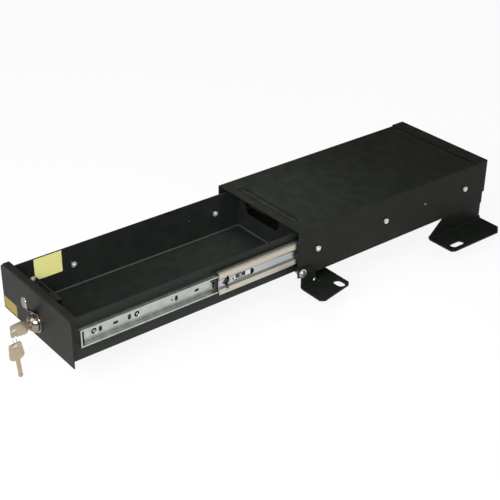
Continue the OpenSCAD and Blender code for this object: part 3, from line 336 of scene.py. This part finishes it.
def screwTree(material, headMaterial, recessTurn):
    # Countersunk screw from its head's face at z 0: cone head with a cross recess, and a ridged thread
    tree, given = newTree("countersunkScrew", {
        "Head Radius": 3.7 * mm, "Head Height": 1.9 * mm, "Radius": 2.46 * mm, "Length": 8.3 * mm,
        "Thread Depth": 0.28 * mm, "Rings": 44, "Recess": 4.4 * mm, "Recess Width": 0.8 * mm, "Outward": 1.0})
    end = addNode(tree, "ShaderNodeCombineXYZ", {2: given["Length"]})
    line = addNode(tree, "GeometryNodeCurvePrimitiveLine", {"End": end})
    axis = addNode(tree, "GeometryNodeResampleCurve", {"Curve": line, "Count": given["Rings"]})
    number = addNode(tree, "GeometryNodeInputIndex")
    ridge = calc(tree, "MULTIPLY", calc(tree, "PINGPONG", number, 1.0), given["Thread Depth"])
    # The last two rings narrow to the tip
    last = calc(tree, "GREATER_THAN", number, calc(tree, "SUBTRACT", given["Rings"], 2.5))
    tip = calc(tree, "MULTIPLY", last, calc(tree, "MULTIPLY", given["Thread Depth"], 1.5))
    waist = calc(tree, "SUBTRACT", calc(tree, "SUBTRACT", given["Radius"], ridge), tip)
    circle = addNode(tree, "GeometryNodeCurvePrimitiveCircle", {"Resolution": 28, "Radius": 1.0})
    thread = addNode(tree, "GeometryNodeCurveToMesh", {
        "Curve": axis, "Profile Curve": circle, "Scale": waist, "Fill Caps": True})
    cone = addNode(tree, "GeometryNodeMeshCone", {
        "Vertices": 48, "Radius Top": given["Radius"], "Radius Bottom": given["Head Radius"],
        "Depth": given["Head Height"]})
    depth = calc(tree, "MULTIPLY", given["Head Height"], 1.3)
    size = addNode(tree, "ShaderNodeCombineXYZ", {0: given["Recess"], 1: given["Recess Width"], 2: depth})
    drop = addNode(tree, "ShaderNodeCombineXYZ", {2: calc(tree, "MULTIPLY", given["Head Height"], -0.5)})
    bars = []
    for turn in (recessTurn, recessTurn + math.pi / 2):
        bar = addNode(tree, "GeometryNodeMeshCube", {"Size": size})
        bars.append(addNode(tree, "GeometryNodeTransform", {
            0: bar, "Rotation": (0, 0, turn), "Translation": drop}))
    cross = boolean(tree, "DIFFERENCE", {"Mesh 1": cone, "Mesh 2": bars})
    head = addNode(tree, "GeometryNodeStoreNamedAttribute", {
        "Geometry": cross, "Name": "head", "Value": True}, data_type="BOOLEAN", domain="FACE")
    screw = addNode(tree, "GeometryNodeJoinGeometry", {0: [head, thread]})
    closeTree(tree, onPlaces(tree, given["Places"], screw, given["Outward"]), material, headMaterial)
    return tree


def ringTree(material):
    # Split ring: two turns of spring wire, wound flat on each other
    tree, given = newTree("splitRing", {"Radius": 12.4 * mm, "Wire": 0.33 * mm, "Turns": 2.0, "Pitch": 2.1})
    height = calc(tree, "MULTIPLY", given["Wire"], given["Pitch"])
    coil = addNode(tree, "GeometryNodeCurveSpiral", {
        "Resolution": 96, "Rotations": given["Turns"], "Start Radius": given["Radius"],
        "End Radius": given["Radius"], "Height": height})
    centred = lifted(tree, coil, calc(tree, "MULTIPLY", height, -0.5))
    circle = addNode(tree, "GeometryNodeCurvePrimitiveCircle", {"Resolution": 14, "Radius": given["Wire"]})
    wire = addNode(tree, "GeometryNodeCurveToMesh", {
        "Curve": centred, "Profile Curve": circle, "Fill Caps": True})
    closeTree(tree, wire, material)
    return tree


def plainMesh(name, source, material=None):
    # The evaluated source as an object of its own, at the origin; the source goes
    bpy.context.view_layer.update()
    mesh = bpy.data.meshes.new_from_object(source.evaluated_get(bpy.context.evaluated_depsgraph_get()))
    mesh.transform(source.matrix_world)
    mesh.name = name
    if material:
        mesh.materials.clear()
        mesh.materials.append(material)
    bpy.data.objects.remove(source)
    piece = bpy.data.objects.new(name, mesh)
    bpy.context.collection.objects.link(piece)
    return piece


def grow(name, tree, places, values):
    # Runs a tree over the places and keeps the result as a plain mesh
    mesh = bpy.data.meshes.new(name + "Places")
    mesh.from_pydata([Vector(p) * mm for p in places], [], [])
    source = bpy.data.objects.new(name + "Places", mesh)
    bpy.context.collection.objects.link(source)
    modifier = source.modifiers.new(name, "NODES")
    modifier.node_group = tree
    for item in tree.interface.items_tree:
        if item.in_out == "INPUT" and item.name in values:
            modifier[item.identifier] = values[item.name]
    return plainMesh(name, source)


def smooth(piece, angle=35):
    mesh = piece.data
    mesh.polygons.foreach_set("use_smooth", [True] * len(mesh.polygons))
    shape = bmesh.new()
    shape.from_mesh(mesh)
    bmesh.ops.remove_doubles(shape, verts=shape.verts, dist=0.002 * mm)
    bmesh.ops.recalc_face_normals(shape, faces=shape.faces)
    for edge in shape.edges:
        edge.smooth = len(edge.link_faces) == 2 and edge.calc_face_angle(0) < math.radians(angle)
    shape.to_mesh(mesh)
    shape.free()


def meshPiece(name, shape, material=None):
    mesh = bpy.data.meshes.new(name)
    shape.to_mesh(mesh)
    shape.free()
    if material:
        mesh.materials.append(material)
    piece = bpy.data.objects.new(name, mesh)
    bpy.context.collection.objects.link(piece)
    return piece


def addRow(shape, points):
    return [shape.verts.new(Vector(p) * mm) for p in points]


def loft(shape, rows, closed=False):
    # A skin over rows that each run round the form; a closed form's last row joins its first
    for low, high in zip(rows, rows[1:] + (rows[:1] if closed else [])):
        for i in range(len(low)):
            j = (i + 1) % len(low)
            shape.faces.new((low[i], low[j], high[j], high[i]))
    if not closed:
        shape.faces.new(rows[0])
        shape.faces.new(rows[-1])


fastenerSizes = {
    "level": 40, "outerAt": (35.4, 173.1, 349.4), "innerAt": (-335.5, -269.5, -19.5),
    "housingHead": 93.3, "trayHead": 83.0, "housingNut": 96.0, "trayNut": 80.3, "flats": 8, "nut": 4,
    "slack": 0.02, "recessTurn": 0.35,
    "outerPip": 260.5, "innerPip": -67.2, "pipWall": 2.7, "pipNeck": 1.28, "pipSides": 24,
    "pipHead": [(0, 1.9), (0.2, 1.8), (0.38, 1.3), (0.48, 0.5)],  # distance from the wall, radius
}


def addPips(piece, sizes, x, y, outward):
    # The slide's locating pips: pressed studs whose dull round heads show beside the screws
    wall, neck, z = sizes["pipWall"], sizes["pipNeck"], sizes["level"]
    outline = [(0, neck), (wall, neck)] + [(wall + d, r) for d, r in sizes["pipHead"]]
    angles = [2 * math.pi * i / sizes["pipSides"] for i in range(sizes["pipSides"])]
    shape = bmesh.new()
    shape.from_mesh(piece.data)
    made = len(shape.faces)
    for side in (1, -1):
        rows = []
        for distance, radius in outline:
            rows.append(addRow(shape, [
                (side * (x + outward * distance), y + radius * math.cos(a), z + radius * math.sin(a))
                for a in angles]))
        loft(shape, rows)
    shape.faces.ensure_lookup_table()
    piece.data.materials.append(boltZinc)
    for face in shape.faces[made:]:
        face.material_index = len(piece.data.materials) - 1
    shape.to_mesh(piece.data)
    shape.free()


def addFasteners(sizes):
    nuts, screws = nutTree(zincFastener), screwTree(zincFastener, headPaintedShade, sizes["recessTurn"])
    across, thick = (sizes["flats"] - sizes["slack"]) * mm, (sizes["nut"] - sizes["slack"]) * mm
    for name, x, ys, tree, outward, pip, body, node in (
            ("housingNuts", sizes["housingNut"], sizes["outerAt"], nuts, 1.0, None,
             "housing", "housing_nuts"),
            ("trayNuts", sizes["trayNut"], sizes["innerAt"], nuts, -1.0, None,
             "drawer", "tray_nuts"),
            ("housingScrews", sizes["housingHead"], sizes["outerAt"], screws, 1.0, sizes["outerPip"],
             "housing", "housing_screws"),
            ("trayScrews", sizes["trayHead"], sizes["innerAt"], screws, -1.0, sizes["innerPip"],
             "drawer", "tray_screws")):
        places = [(side * x, y, sizes["level"]) for side in (1, -1) for y in ys]
        piece = grow(name, tree, places, {"Across Flats": across, "Thickness": thick, "Outward": outward})
        if pip:
            addPips(piece, sizes, x, pip, outward)
        smooth(piece)
        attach(piece, body)
        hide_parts(node)
        print(name, "done,", len(piece.data.polygons), "faces")


addFasteners(fastenerSizes)

seamSizes = {"radius": 1.7, "sheet": 1.5, "front": -371.0, "steps": 6, "sink": 0.04}


def addSeams(sizes):
    # The tray's inner seams: the coat pools there into a smooth hollow fillet, coloured paler as a painted
    # highlight along it
    low, high = (Vector(c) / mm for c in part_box("drawer_tray"))
    left, right = low.x + sizes["sheet"], high.x - sizes["sheet"]
    floor, back = low.z + sizes["sheet"], high.y - sizes["sheet"]
    r, sink, steps = sizes["radius"], sizes["sink"], sizes["steps"]
    angles = [math.pi / 2 * i / steps for i in range(steps + 1)]
    outline = [(-sink, -sink)] + [(r - r * math.sin(a), r - r * math.cos(a)) for a in angles]
    shape = bmesh.new()
    for ends, inward in ((((left, sizes["front"]), (left, back)), Vector((1, 0, 0))),
                         (((right, back), (right, sizes["front"])), Vector((-1, 0, 0))),
                         (((left, back), (right, back)), Vector((0, -1, 0)))):
        loft(shape, [addRow(shape, [Vector((x, y, floor + b)) + inward * a for a, b in outline])
                     for x, y in ends])
    piece = meshPiece("traySeams", shape, seamCoatPaintedHighlight)
    smooth(piece)
    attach(piece, "drawer")
    print("tray seams done,", len(piece.data.polygons), "faces")


addSeams(seamSizes)

creaseShadeSizes = {
    "beadLine": 1.3, "lapLine": 2.0, "proud": 0.1, "sink": 0.3, "top": 76.2, "beadLength": 131,
    "beadWidth": 11, "beadY": 19.5, "steps": 10, "lapHalf": 95.5,
}


def addPaintedCreaseShade(sizes):
    # Painted shade: thin dark strips round the pressed bead's foot, and before the rear cover's lap, where
    # shade falls in the creases
    end, across = (sizes["beadLength"] - sizes["beadWidth"]) / 2, sizes["beadWidth"] / 2
    bead = []
    for side in (1, -1):
        for i in range(sizes["steps"] + 1):
            a = math.pi * (i / sizes["steps"] - 0.5) + (0 if side > 0 else math.pi)
            bead.append(Vector((side * end + across * math.cos(a), sizes["beadY"] + across * math.sin(a), 0)))
    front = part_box("rear_cover")[0][1] / mm - sizes["lapLine"] / 2
    lap = [Vector((x, front, 0)) for x in (-sizes["lapHalf"], sizes["lapHalf"])]
    low, high = sizes["top"] - sizes["sink"], sizes["top"] + sizes["proud"]
    shape = bmesh.new()
    for points, closed, width in ((bead, True, sizes["beadLine"]), (lap, False, sizes["lapLine"])):
        rows = []
        for i, point in enumerate(points):
            before = points[i - 1] if closed or i else point
            after = points[(i + 1) % len(points)] if closed or i < len(points) - 1 else point
            side = (after - before).normalized().cross(Vector((0, 0, 1))) * width / 2
            rows.append(addRow(shape, [point + side * s + Vector((0, 0, z))
                                       for s, z in ((-1, low), (1, low), (1, high), (-1, high))]))
        loft(shape, rows, closed)
    piece = meshPiece("creaseShadeStrips", shape, creaseCoatPaintedShade)
    smooth(piece)
    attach(piece, "housing")
    print("creases done,", len(piece.data.polygons), "faces")


addPaintedCreaseShade(creaseShadeSizes)

springSizes = {
    "from": 87.35, "to": 87.85, "pivotY": -100.0, "level": 40,
    "outline": [(-12, -4.3), (17.5, -4.3), (17.5, 3.6), (8.5, 3.6), (8.5, -2.9), (-9, -2.9), (-9, 3.6),
                (-12, 3.6)],
}


def addSprings(sizes):
    # The release levers' springs: bright U-shaped leaves set close behind the middle members' windows as
    # painted light, standing in for the lit inner web seen there
    shape = bmesh.new()
    for side in (1, -1):
        rows = []
        for x in (sizes["from"], sizes["to"]):
            rows.append(addRow(shape, [
                (side * x, sizes["pivotY"] + y, sizes["level"] + z) for y, z in sizes["outline"]]))
        loft(shape, rows)
    piece = meshPiece("leverSprings", shape, zincFastener)
    smooth(piece)
    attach(piece, "drawer")
    print("lever springs done,", len(piece.data.polygons), "faces")


addSprings(springSizes)

ringSizes = {"at": (0, -408.4, 13.0), "radius": 12.0, "wire": 0.33, "turn": -11}


def addRing(sizes):
    piece = grow("keyRing", ringTree(brightSteel), [(0, 0, 0)], {"Radius": sizes["radius"] * mm,
                                                                 "Wire": sizes["wire"] * mm})
    upright = Matrix.Rotation(math.radians(sizes["turn"]), 4, "Z") @ Matrix.Rotation(math.radians(90), 4, "X")
    piece.data.transform(Matrix.Translation(Vector(sizes["at"]) * mm) @ upright)
    smooth(piece)
    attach(piece, "ring")
    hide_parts("key_ring")
    print("key ring done,", len(piece.data.polygons), "faces")


addRing(ringSizes)

pullSizes = {
    "plateY": -374.0, "level": 25, "base": 14.55, "hole": 9.65, "thick": 1.7, "gap": 0.03, "sides": 72,
    "start": 13.0, "slope": 47, "bend1": 5, "bend2": 6, "reach": 15.5, "rise": 44.9, "off": 0.05,
    "paddle": 7.95, "neck": 4.4, "foot": 9.0, "dish": 1.1, "paddleFrom": 25.5, "across": 8, "tuck": 5,
    "steps": 6, "topSteps": 14, "topEase": 1.6, "blend": 3, "ovalPower": 2.2, "growPower": 1.2, "least": 0.9,
    "backEdge": 0.3, "frontEdge": 0.5, "shoulder": 0.15,
}


def pullPath(sizes):
    # Side view of the tongue as (stand-off, rise): up, out through the first bend, along the slope, up again
    slope, mid, steps = math.radians(sizes["slope"]), sizes["thick"] / 2 + sizes["off"], sizes["steps"]
    path = [(mid, sizes["start"] - sizes["tuck"]), (mid, sizes["start"] - sizes["tuck"] / 2)]
    for i in range(steps):
        a = slope * i / (steps - 1)
        path.append((mid + sizes["bend1"] * (1 - math.cos(a)), sizes["start"] + sizes["bend1"] * math.sin(a)))
    drops = (sizes["bend1"] + sizes["bend2"]) * (1 - math.cos(slope))
    run = (sizes["reach"] - mid - drops) / math.sin(slope)
    off, rise = path[-1]
    path += [(off + run * k / steps * math.sin(slope), rise + run * k / steps * math.cos(slope))
             for k in range(1, steps + 1)]
    off, rise = path[-1]
    for i in range(1, steps + 1):
        a = slope * (1 - i / steps)
        path.append((off + sizes["bend2"] * (math.cos(a) - math.cos(slope)),
                     rise + sizes["bend2"] * (math.sin(slope) - math.sin(a))))
    off, rise = path[-1]
    top, count = sizes["rise"] - sizes["off"], sizes["topSteps"]
    return path + [(off, rise + (top - rise) * (1 - (1 - k / count) ** sizes["topEase"]))
                   for k in range(1, count + 1)]


def pullHalf(sizes, rise):
    # Half width: the foot narrows to the neck, then an oval paddle
    if rise < sizes["paddleFrom"]:
        run = sizes["paddleFrom"] - sizes["start"] + sizes["blend"]
        t = max(0, min(1, (rise - sizes["start"] + sizes["blend"]) / run))
        return sizes["foot"] + (sizes["neck"] - sizes["foot"]) * (t * t * (3 - 2 * t))
    t = (rise - sizes["paddleFrom"]) / (sizes["rise"] - sizes["paddleFrom"])
    oval = math.sqrt(max(0, 1 - (2 * max(t, 0.5) - 1) ** sizes["ovalPower"]))
    share = math.sin(min(t, 0.5) * math.pi) ** sizes["growPower"]
    return max((sizes["neck"] + (sizes["paddle"] - sizes["neck"]) * share) * oval, sizes["least"])


def pullTongue(sizes):
    # The dished paddle on its S-shaped neck, as a sheet of the pressing's thickness
    path, across = pullPath(sizes), sizes["across"]
    shape = bmesh.new()
    rows = []
    for i, (off, rise) in enumerate(path):
        before, after = path[max(i - 1, 0)], path[min(i + 1, len(path) - 1)]
        way = Vector((after[0] - before[0], after[1] - before[1])).normalized()
        width = pullHalf(sizes, rise)
        below = rise - sizes["paddleFrom"] + sizes["blend"]
        deep = sizes["dish"] * max(0, min(1, below / (2 * sizes["blend"])))
        points = []
        for k in range(across + 1):
            u = 2 * k / across - 1
            dip = deep * (1 - u * u) * min(1, width / sizes["paddle"] + 0.1)
            points.append((width * u, sizes["plateY"] - off + dip * way.y,
                           sizes["level"] + rise + dip * way.x))
        rows.append(addRow(shape, points))
    for low, high in zip(rows, rows[1:]):
        for k in range(across):
            shape.faces.new((low[k], low[k + 1], high[k + 1], high[k]))
    tongue = meshPiece("tongue", shape)
    skin = tongue.modifiers.new("skin", "SOLIDIFY")
    skin.thickness, skin.offset, skin.use_even_offset = sizes["thick"] * mm, 0, True
    tongue.modifiers.new("round", "SUBSURF").levels = 2
    return plainMesh("tongue", tongue)


def addPull(sizes):
    # Finger pull: a chromed pressing, its round base under the lock's flange and its tongue above
    tongue = pullTongue(sizes)
    shape = bmesh.new()
    shape.from_mesh(tongue.data)
    bpy.data.objects.remove(tongue)
    base, hole, thick, sides = sizes["base"], sizes["hole"], sizes["thick"], sizes["sides"]
    rows = []
    back, front, shoulder = sizes["backEdge"], sizes["frontEdge"], sizes["shoulder"]
    for r, d in ((hole, 0), (base - back, 0), (base, back), (base, thick - front),
                 (base - shoulder, thick - shoulder), (base - front, thick), (hole, thick)):
        rows.append(addRow(shape, [
            (r * math.cos(2 * math.pi * i / sides), sizes["plateY"] - sizes["gap"] - d,
             sizes["level"] + r * math.sin(2 * math.pi * i / sides)) for i in range(sides)]))
    loft(shape, rows, closed=True)
    piece = meshPiece("fingerPull", shape, chromePlate)
    smooth(piece, 50)
    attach(piece, "drawer")
    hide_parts("finger_pull")
    print("finger pull done,", len(piece.data.polygons), "faces")


addPull(pullSizes)

keySizes = {
    "bowLength": 27, "bowWidth": 22, "thick": 1.8, "bladeLength": 29, "bladeWidth": 6.6, "hole": 2.5,
    "holeIn": 4.7, "round": 0.28,
    # The bow's corners: share of its half width with a height, then share with a depth below its top
    "bow": [(0.62, 1.2), (0.95, 4), (1, 7.5)], "bowTop": [(0.84, 1.6), (0.66, 0)],
    "cuts": (5, 9, 13, 17, 21), "depths": (0.9, 1.4, 0.7, 1.5, 1.1), "cutFloor": 0.4, "cutMouth": 1.4,
    "tip": 0.8, "tipSlope": 2.5, "groove": 1.5, "grooveDepth": 0.45, "grooveOff": 0.7, "grooveIn": 1.3,
    "shoulderY": -386.1, "level": 25, "holeY": -408.4, "spareZ": 1.0, "lean": 4,
}


def keyOutline(sizes):
    # The right half from the bow's top to the blade's tip, then its mirror image back up
    half, blade = sizes["bowWidth"] / 2, sizes["bladeWidth"] / 2
    low, top = -sizes["bladeLength"], sizes["bowLength"]
    side = [(blade, 0)] + [(half * share, up) for share, up in sizes["bow"]]
    side += [(half * share, top - down) for share, down in sizes["bowTop"]]
    edge = []
    for cut, depth in zip(sizes["cuts"], sizes["depths"]):
        edge += [(blade, sizes["cutMouth"] - cut), (blade - depth, sizes["cutFloor"] - cut),
                 (blade - depth, -sizes["cutFloor"] - cut), (blade, -sizes["cutMouth"] - cut)]
    right = side[::-1] + edge + [(blade, low + sizes["tipSlope"]), (sizes["tip"], low)]
    return right + [(-x, y) for x, y in reversed(right)]


def keyBlank(sizes):
    # A stamped key lying flat, bow up Y, with rounded edges and a groove milled down each side of the blade
    curve = bpy.data.curves.new("keyBlank", "CURVE")
    curve.dimensions, curve.fill_mode = "2D", "BOTH"
    angles = [2 * math.pi * i / 32 for i in range(32)]
    ring = [(sizes["hole"] * math.cos(a), sizes["bowLength"] - sizes["holeIn"] + sizes["hole"] * math.sin(a))
            for a in angles]
    for points in (keyOutline(sizes), ring):
        spline = curve.splines.new("POLY")
        spline.points.add(len(points) - 1)
        for point, (x, y) in zip(spline.points, points):
            point.co = (x * mm, y * mm, 0, 1)
        spline.use_cyclic_u = True
    curve.bevel_depth, curve.bevel_resolution = sizes["round"] * mm, 2
    curve.extrude = (sizes["thick"] / 2 - sizes["round"]) * mm
    curve.offset = -sizes["round"] * mm
    blank = bpy.data.objects.new("keyBlank", curve)
    bpy.context.collection.objects.link(blank)
    blank = plainMesh("keyBlank", blank, nickelBrass)
    smooth(blank, 30)
    for side in (1, -1):
        shape = bmesh.new()
        bmesh.ops.create_cube(shape, size=1.0)
        cutter = meshPiece("groove", shape)
        middle = Vector((side * sizes["grooveOff"], sizes["grooveIn"] - sizes["bladeLength"] / 2,
                         side * sizes["thick"] / 2))
        size = Vector((sizes["groove"], sizes["bladeLength"], 2 * sizes["grooveDepth"]))
        cutter.data.transform(Matrix.Translation(middle * mm) @ Matrix.Diagonal(size * mm).to_4x4())
        cut = blank.modifiers.new("cut", "BOOLEAN")
        cut.operation, cut.solver, cut.object = "DIFFERENCE", "EXACT", cutter
        blank = plainMesh("keyBlank", blank, nickelBrass)
        bpy.data.objects.remove(cutter)
    return blank


def addKeys(sizes):
    blank = keyBlank(sizes)
    flat = Matrix(((0, 0, 1, 0), (1, 0, 0, 0), (0, 1, 0, 0), (0, 0, 0, 1)))
    lean = Matrix.Rotation(math.radians(sizes["lean"]), 4, "X")
    toHole = Matrix.Translation((0, 0, (sizes["holeIn"] - sizes["bowLength"]) * mm))
    hang = Matrix.Translation(Vector((0, sizes["holeY"], sizes["spareZ"])) * mm) @ lean @ toHole @ flat
    ahead = Matrix.Rotation(math.radians(90), 4, "X")
    lock = Matrix.Translation(Vector((0, sizes["shoulderY"], sizes["level"])) * mm) @ ahead @ flat
    for name, put, body, node in (("spareKey", hang, "spare", "spare_key"),
                                  ("keyInLock", lock, "plug", "key_in_lock")):
        mesh = blank.data.copy()
        mesh.transform(put)
        piece = bpy.data.objects.new(name, mesh)
        bpy.context.collection.objects.link(piece)
        smooth(piece, 30)
        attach(piece, body)
        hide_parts(node)
        print(name, "done,", len(piece.data.polygons), "faces")
    bpy.data.objects.remove(blank)


addKeys(keySizes)

cameraSizes = {
    "place": (1156.076, -939.710, 864.336), "yaw": 51.174, "pitch": 29.993, "roll": 0.696,
    "lens": 81.837, "sensor": 36.0, "shiftX": -0.004, "far": 20,
}


def addCamera(sizes):
    yaw, pitch, roll = (math.radians(sizes[k]) for k in ("yaw", "pitch", "roll"))
    ahead = Vector((-math.sin(yaw) * math.cos(pitch), math.cos(yaw) * math.cos(pitch), -math.sin(pitch)))
    level = Vector((math.cos(yaw), math.sin(yaw), 0))
    up = level.cross(ahead)
    right = level * math.cos(roll) + up * math.sin(roll)
    top = up * math.cos(roll) - level * math.sin(roll)
    lens = bpy.data.cameras.new("camera")
    lens.lens, lens.sensor_width, lens.shift_x = sizes["lens"], sizes["sensor"], sizes["shiftX"]
    lens.clip_end = sizes["far"]
    camera = bpy.data.objects.new("camera", lens)
    bpy.context.collection.objects.link(camera)
    turn = Matrix((right, top, -ahead)).transposed().to_4x4()
    camera.matrix_world = Matrix.Translation(Vector(sizes["place"]) * mm) @ turn
    bpy.context.scene.camera = camera


stageSizes = {
    "floorZ": -62 * mm, "floorHalf": 6.0, "floorTone": "#f4f4f4", "show": 0.86, "seen": 1.03,
    "mirrored": 0.86, "skyLow": 0.16, "skyHigh": 0.85, "skyBack": 0.04, "back": (-0.62, 0.78, 0),
    "lights": {  # place, aim, size, power, spread in degrees
        "key": ((-0.35, -1.45, 1.3), (0, -0.1, 0), 0.9, 4.5, 180),
        "near": ((0.6, -1.05, 0.8), (0, -0.1, 0), 0.45, 9, 180),
        "fill": ((1.3, -1.0, 1.0), (0, -0.1, 0), 0.8, 12, 180),
        "over": ((-0.02, 0.03, 0.45), (-0.02, 0.03, 0), 0.25, 0.15, 55),
    },
}


def addFloor(sizes):
    # Paper floor: bright to the camera and in reflections, and it keeps the object's shadow
    half = sizes["floorHalf"]
    mesh = bpy.data.meshes.new("floor")
    corners = [(x * half, y * half, sizes["floorZ"]) for x, y in ((-1, -1), (1, -1), (1, 1), (-1, 1))]
    mesh.from_pydata(corners, [], [(0, 1, 2, 3)])
    floor = bpy.data.objects.new("floor", mesh)
    bpy.context.collection.objects.link(floor)
    material, tree = newMaterial("paperFloor")
    path = addNode(tree, "ShaderNodeLightPath").outputs
    seen = calc(tree, "MAXIMUM", path["Is Camera Ray"], path["Is Glossy Ray"])
    seen = calc(tree, "MAXIMUM", seen, path["Is Transmission Ray"])
    share = calc(tree, "MULTIPLY", seen, sizes["show"])
    paper = addNode(tree, "ShaderNodeBsdfDiffuse", {"Color": colour(sizes["floorTone"])})
    level = addNode(tree, "ShaderNodeMapRange", {
        0: path["Is Glossy Ray"], 3: sizes["seen"], 4: sizes["mirrored"]})
    glow = addNode(tree, "ShaderNodeEmission", {"Color": (1, 1, 1, 1), "Strength": level})
    surface = addNode(tree, "ShaderNodeMixShader", {0: share, 1: paper, 2: glow})
    addNode(tree, "ShaderNodeOutputMaterial", {"Surface": surface})
    mesh.materials.append(material)


def addSky(sizes):
    # White to the camera; to the object a soft grey dome, brighter overhead and dim behind
    world = bpy.data.worlds.new("studio")
    world.use_nodes = True
    bpy.context.scene.world = world
    tree = world.node_tree
    tree.nodes.clear()
    path = addNode(tree, "ShaderNodeLightPath").outputs
    seen = calc(tree, "MAXIMUM", path["Is Camera Ray"], path["Is Transmission Ray"])
    way = addNode(tree, "ShaderNodeTexCoord").outputs["Generated"]
    split = addNode(tree, "ShaderNodeSeparateXYZ", {0: way})
    soft = addNode(tree, "ShaderNodeMapRange", {0: split.outputs[2], 1: -0.1, 2: 0.9, 3: sizes["skyLow"],
                                                4: sizes["skyHigh"]})
    back = addNode(tree, "ShaderNodeVectorMath", {0: way, 1: sizes["back"]}, operation="DOT_PRODUCT")
    dim = addNode(tree, "ShaderNodeMapRange", {0: back.outputs["Value"], 1: -0.3, 2: 0.8, 3: 1.0,
                                               4: sizes["skyBack"]})
    sky = calc(tree, "MULTIPLY", soft, dim)
    level = addNode(tree, "ShaderNodeMapRange", {0: seen, 3: sky, 4: 1.0})
    glow = addNode(tree, "ShaderNodeBackground", {"Color": (1, 1, 1, 1), "Strength": level})
    addNode(tree, "ShaderNodeOutputWorld", {"Surface": glow})


def addLights(sizes):
    for name, (at, to, size, power, spread) in sizes["lights"].items():
        light = bpy.data.lights.new(name, "AREA")
        light.size, light.energy, light.spread = size, power, math.radians(spread)
        lamp = bpy.data.objects.new(name, light)
        bpy.context.collection.objects.link(lamp)
        aim = Vector(to) - Vector(at)
        lamp.matrix_world = Matrix.Translation(at) @ aim.to_track_quat("-Z", "Y").to_matrix().to_4x4()


addCamera(cameraSizes)
addFloor(stageSizes)
addSky(stageSizes)
addLights(stageSizes)
bpy.context.scene.view_settings.view_transform = "Standard"
print("camera, floor and light done")
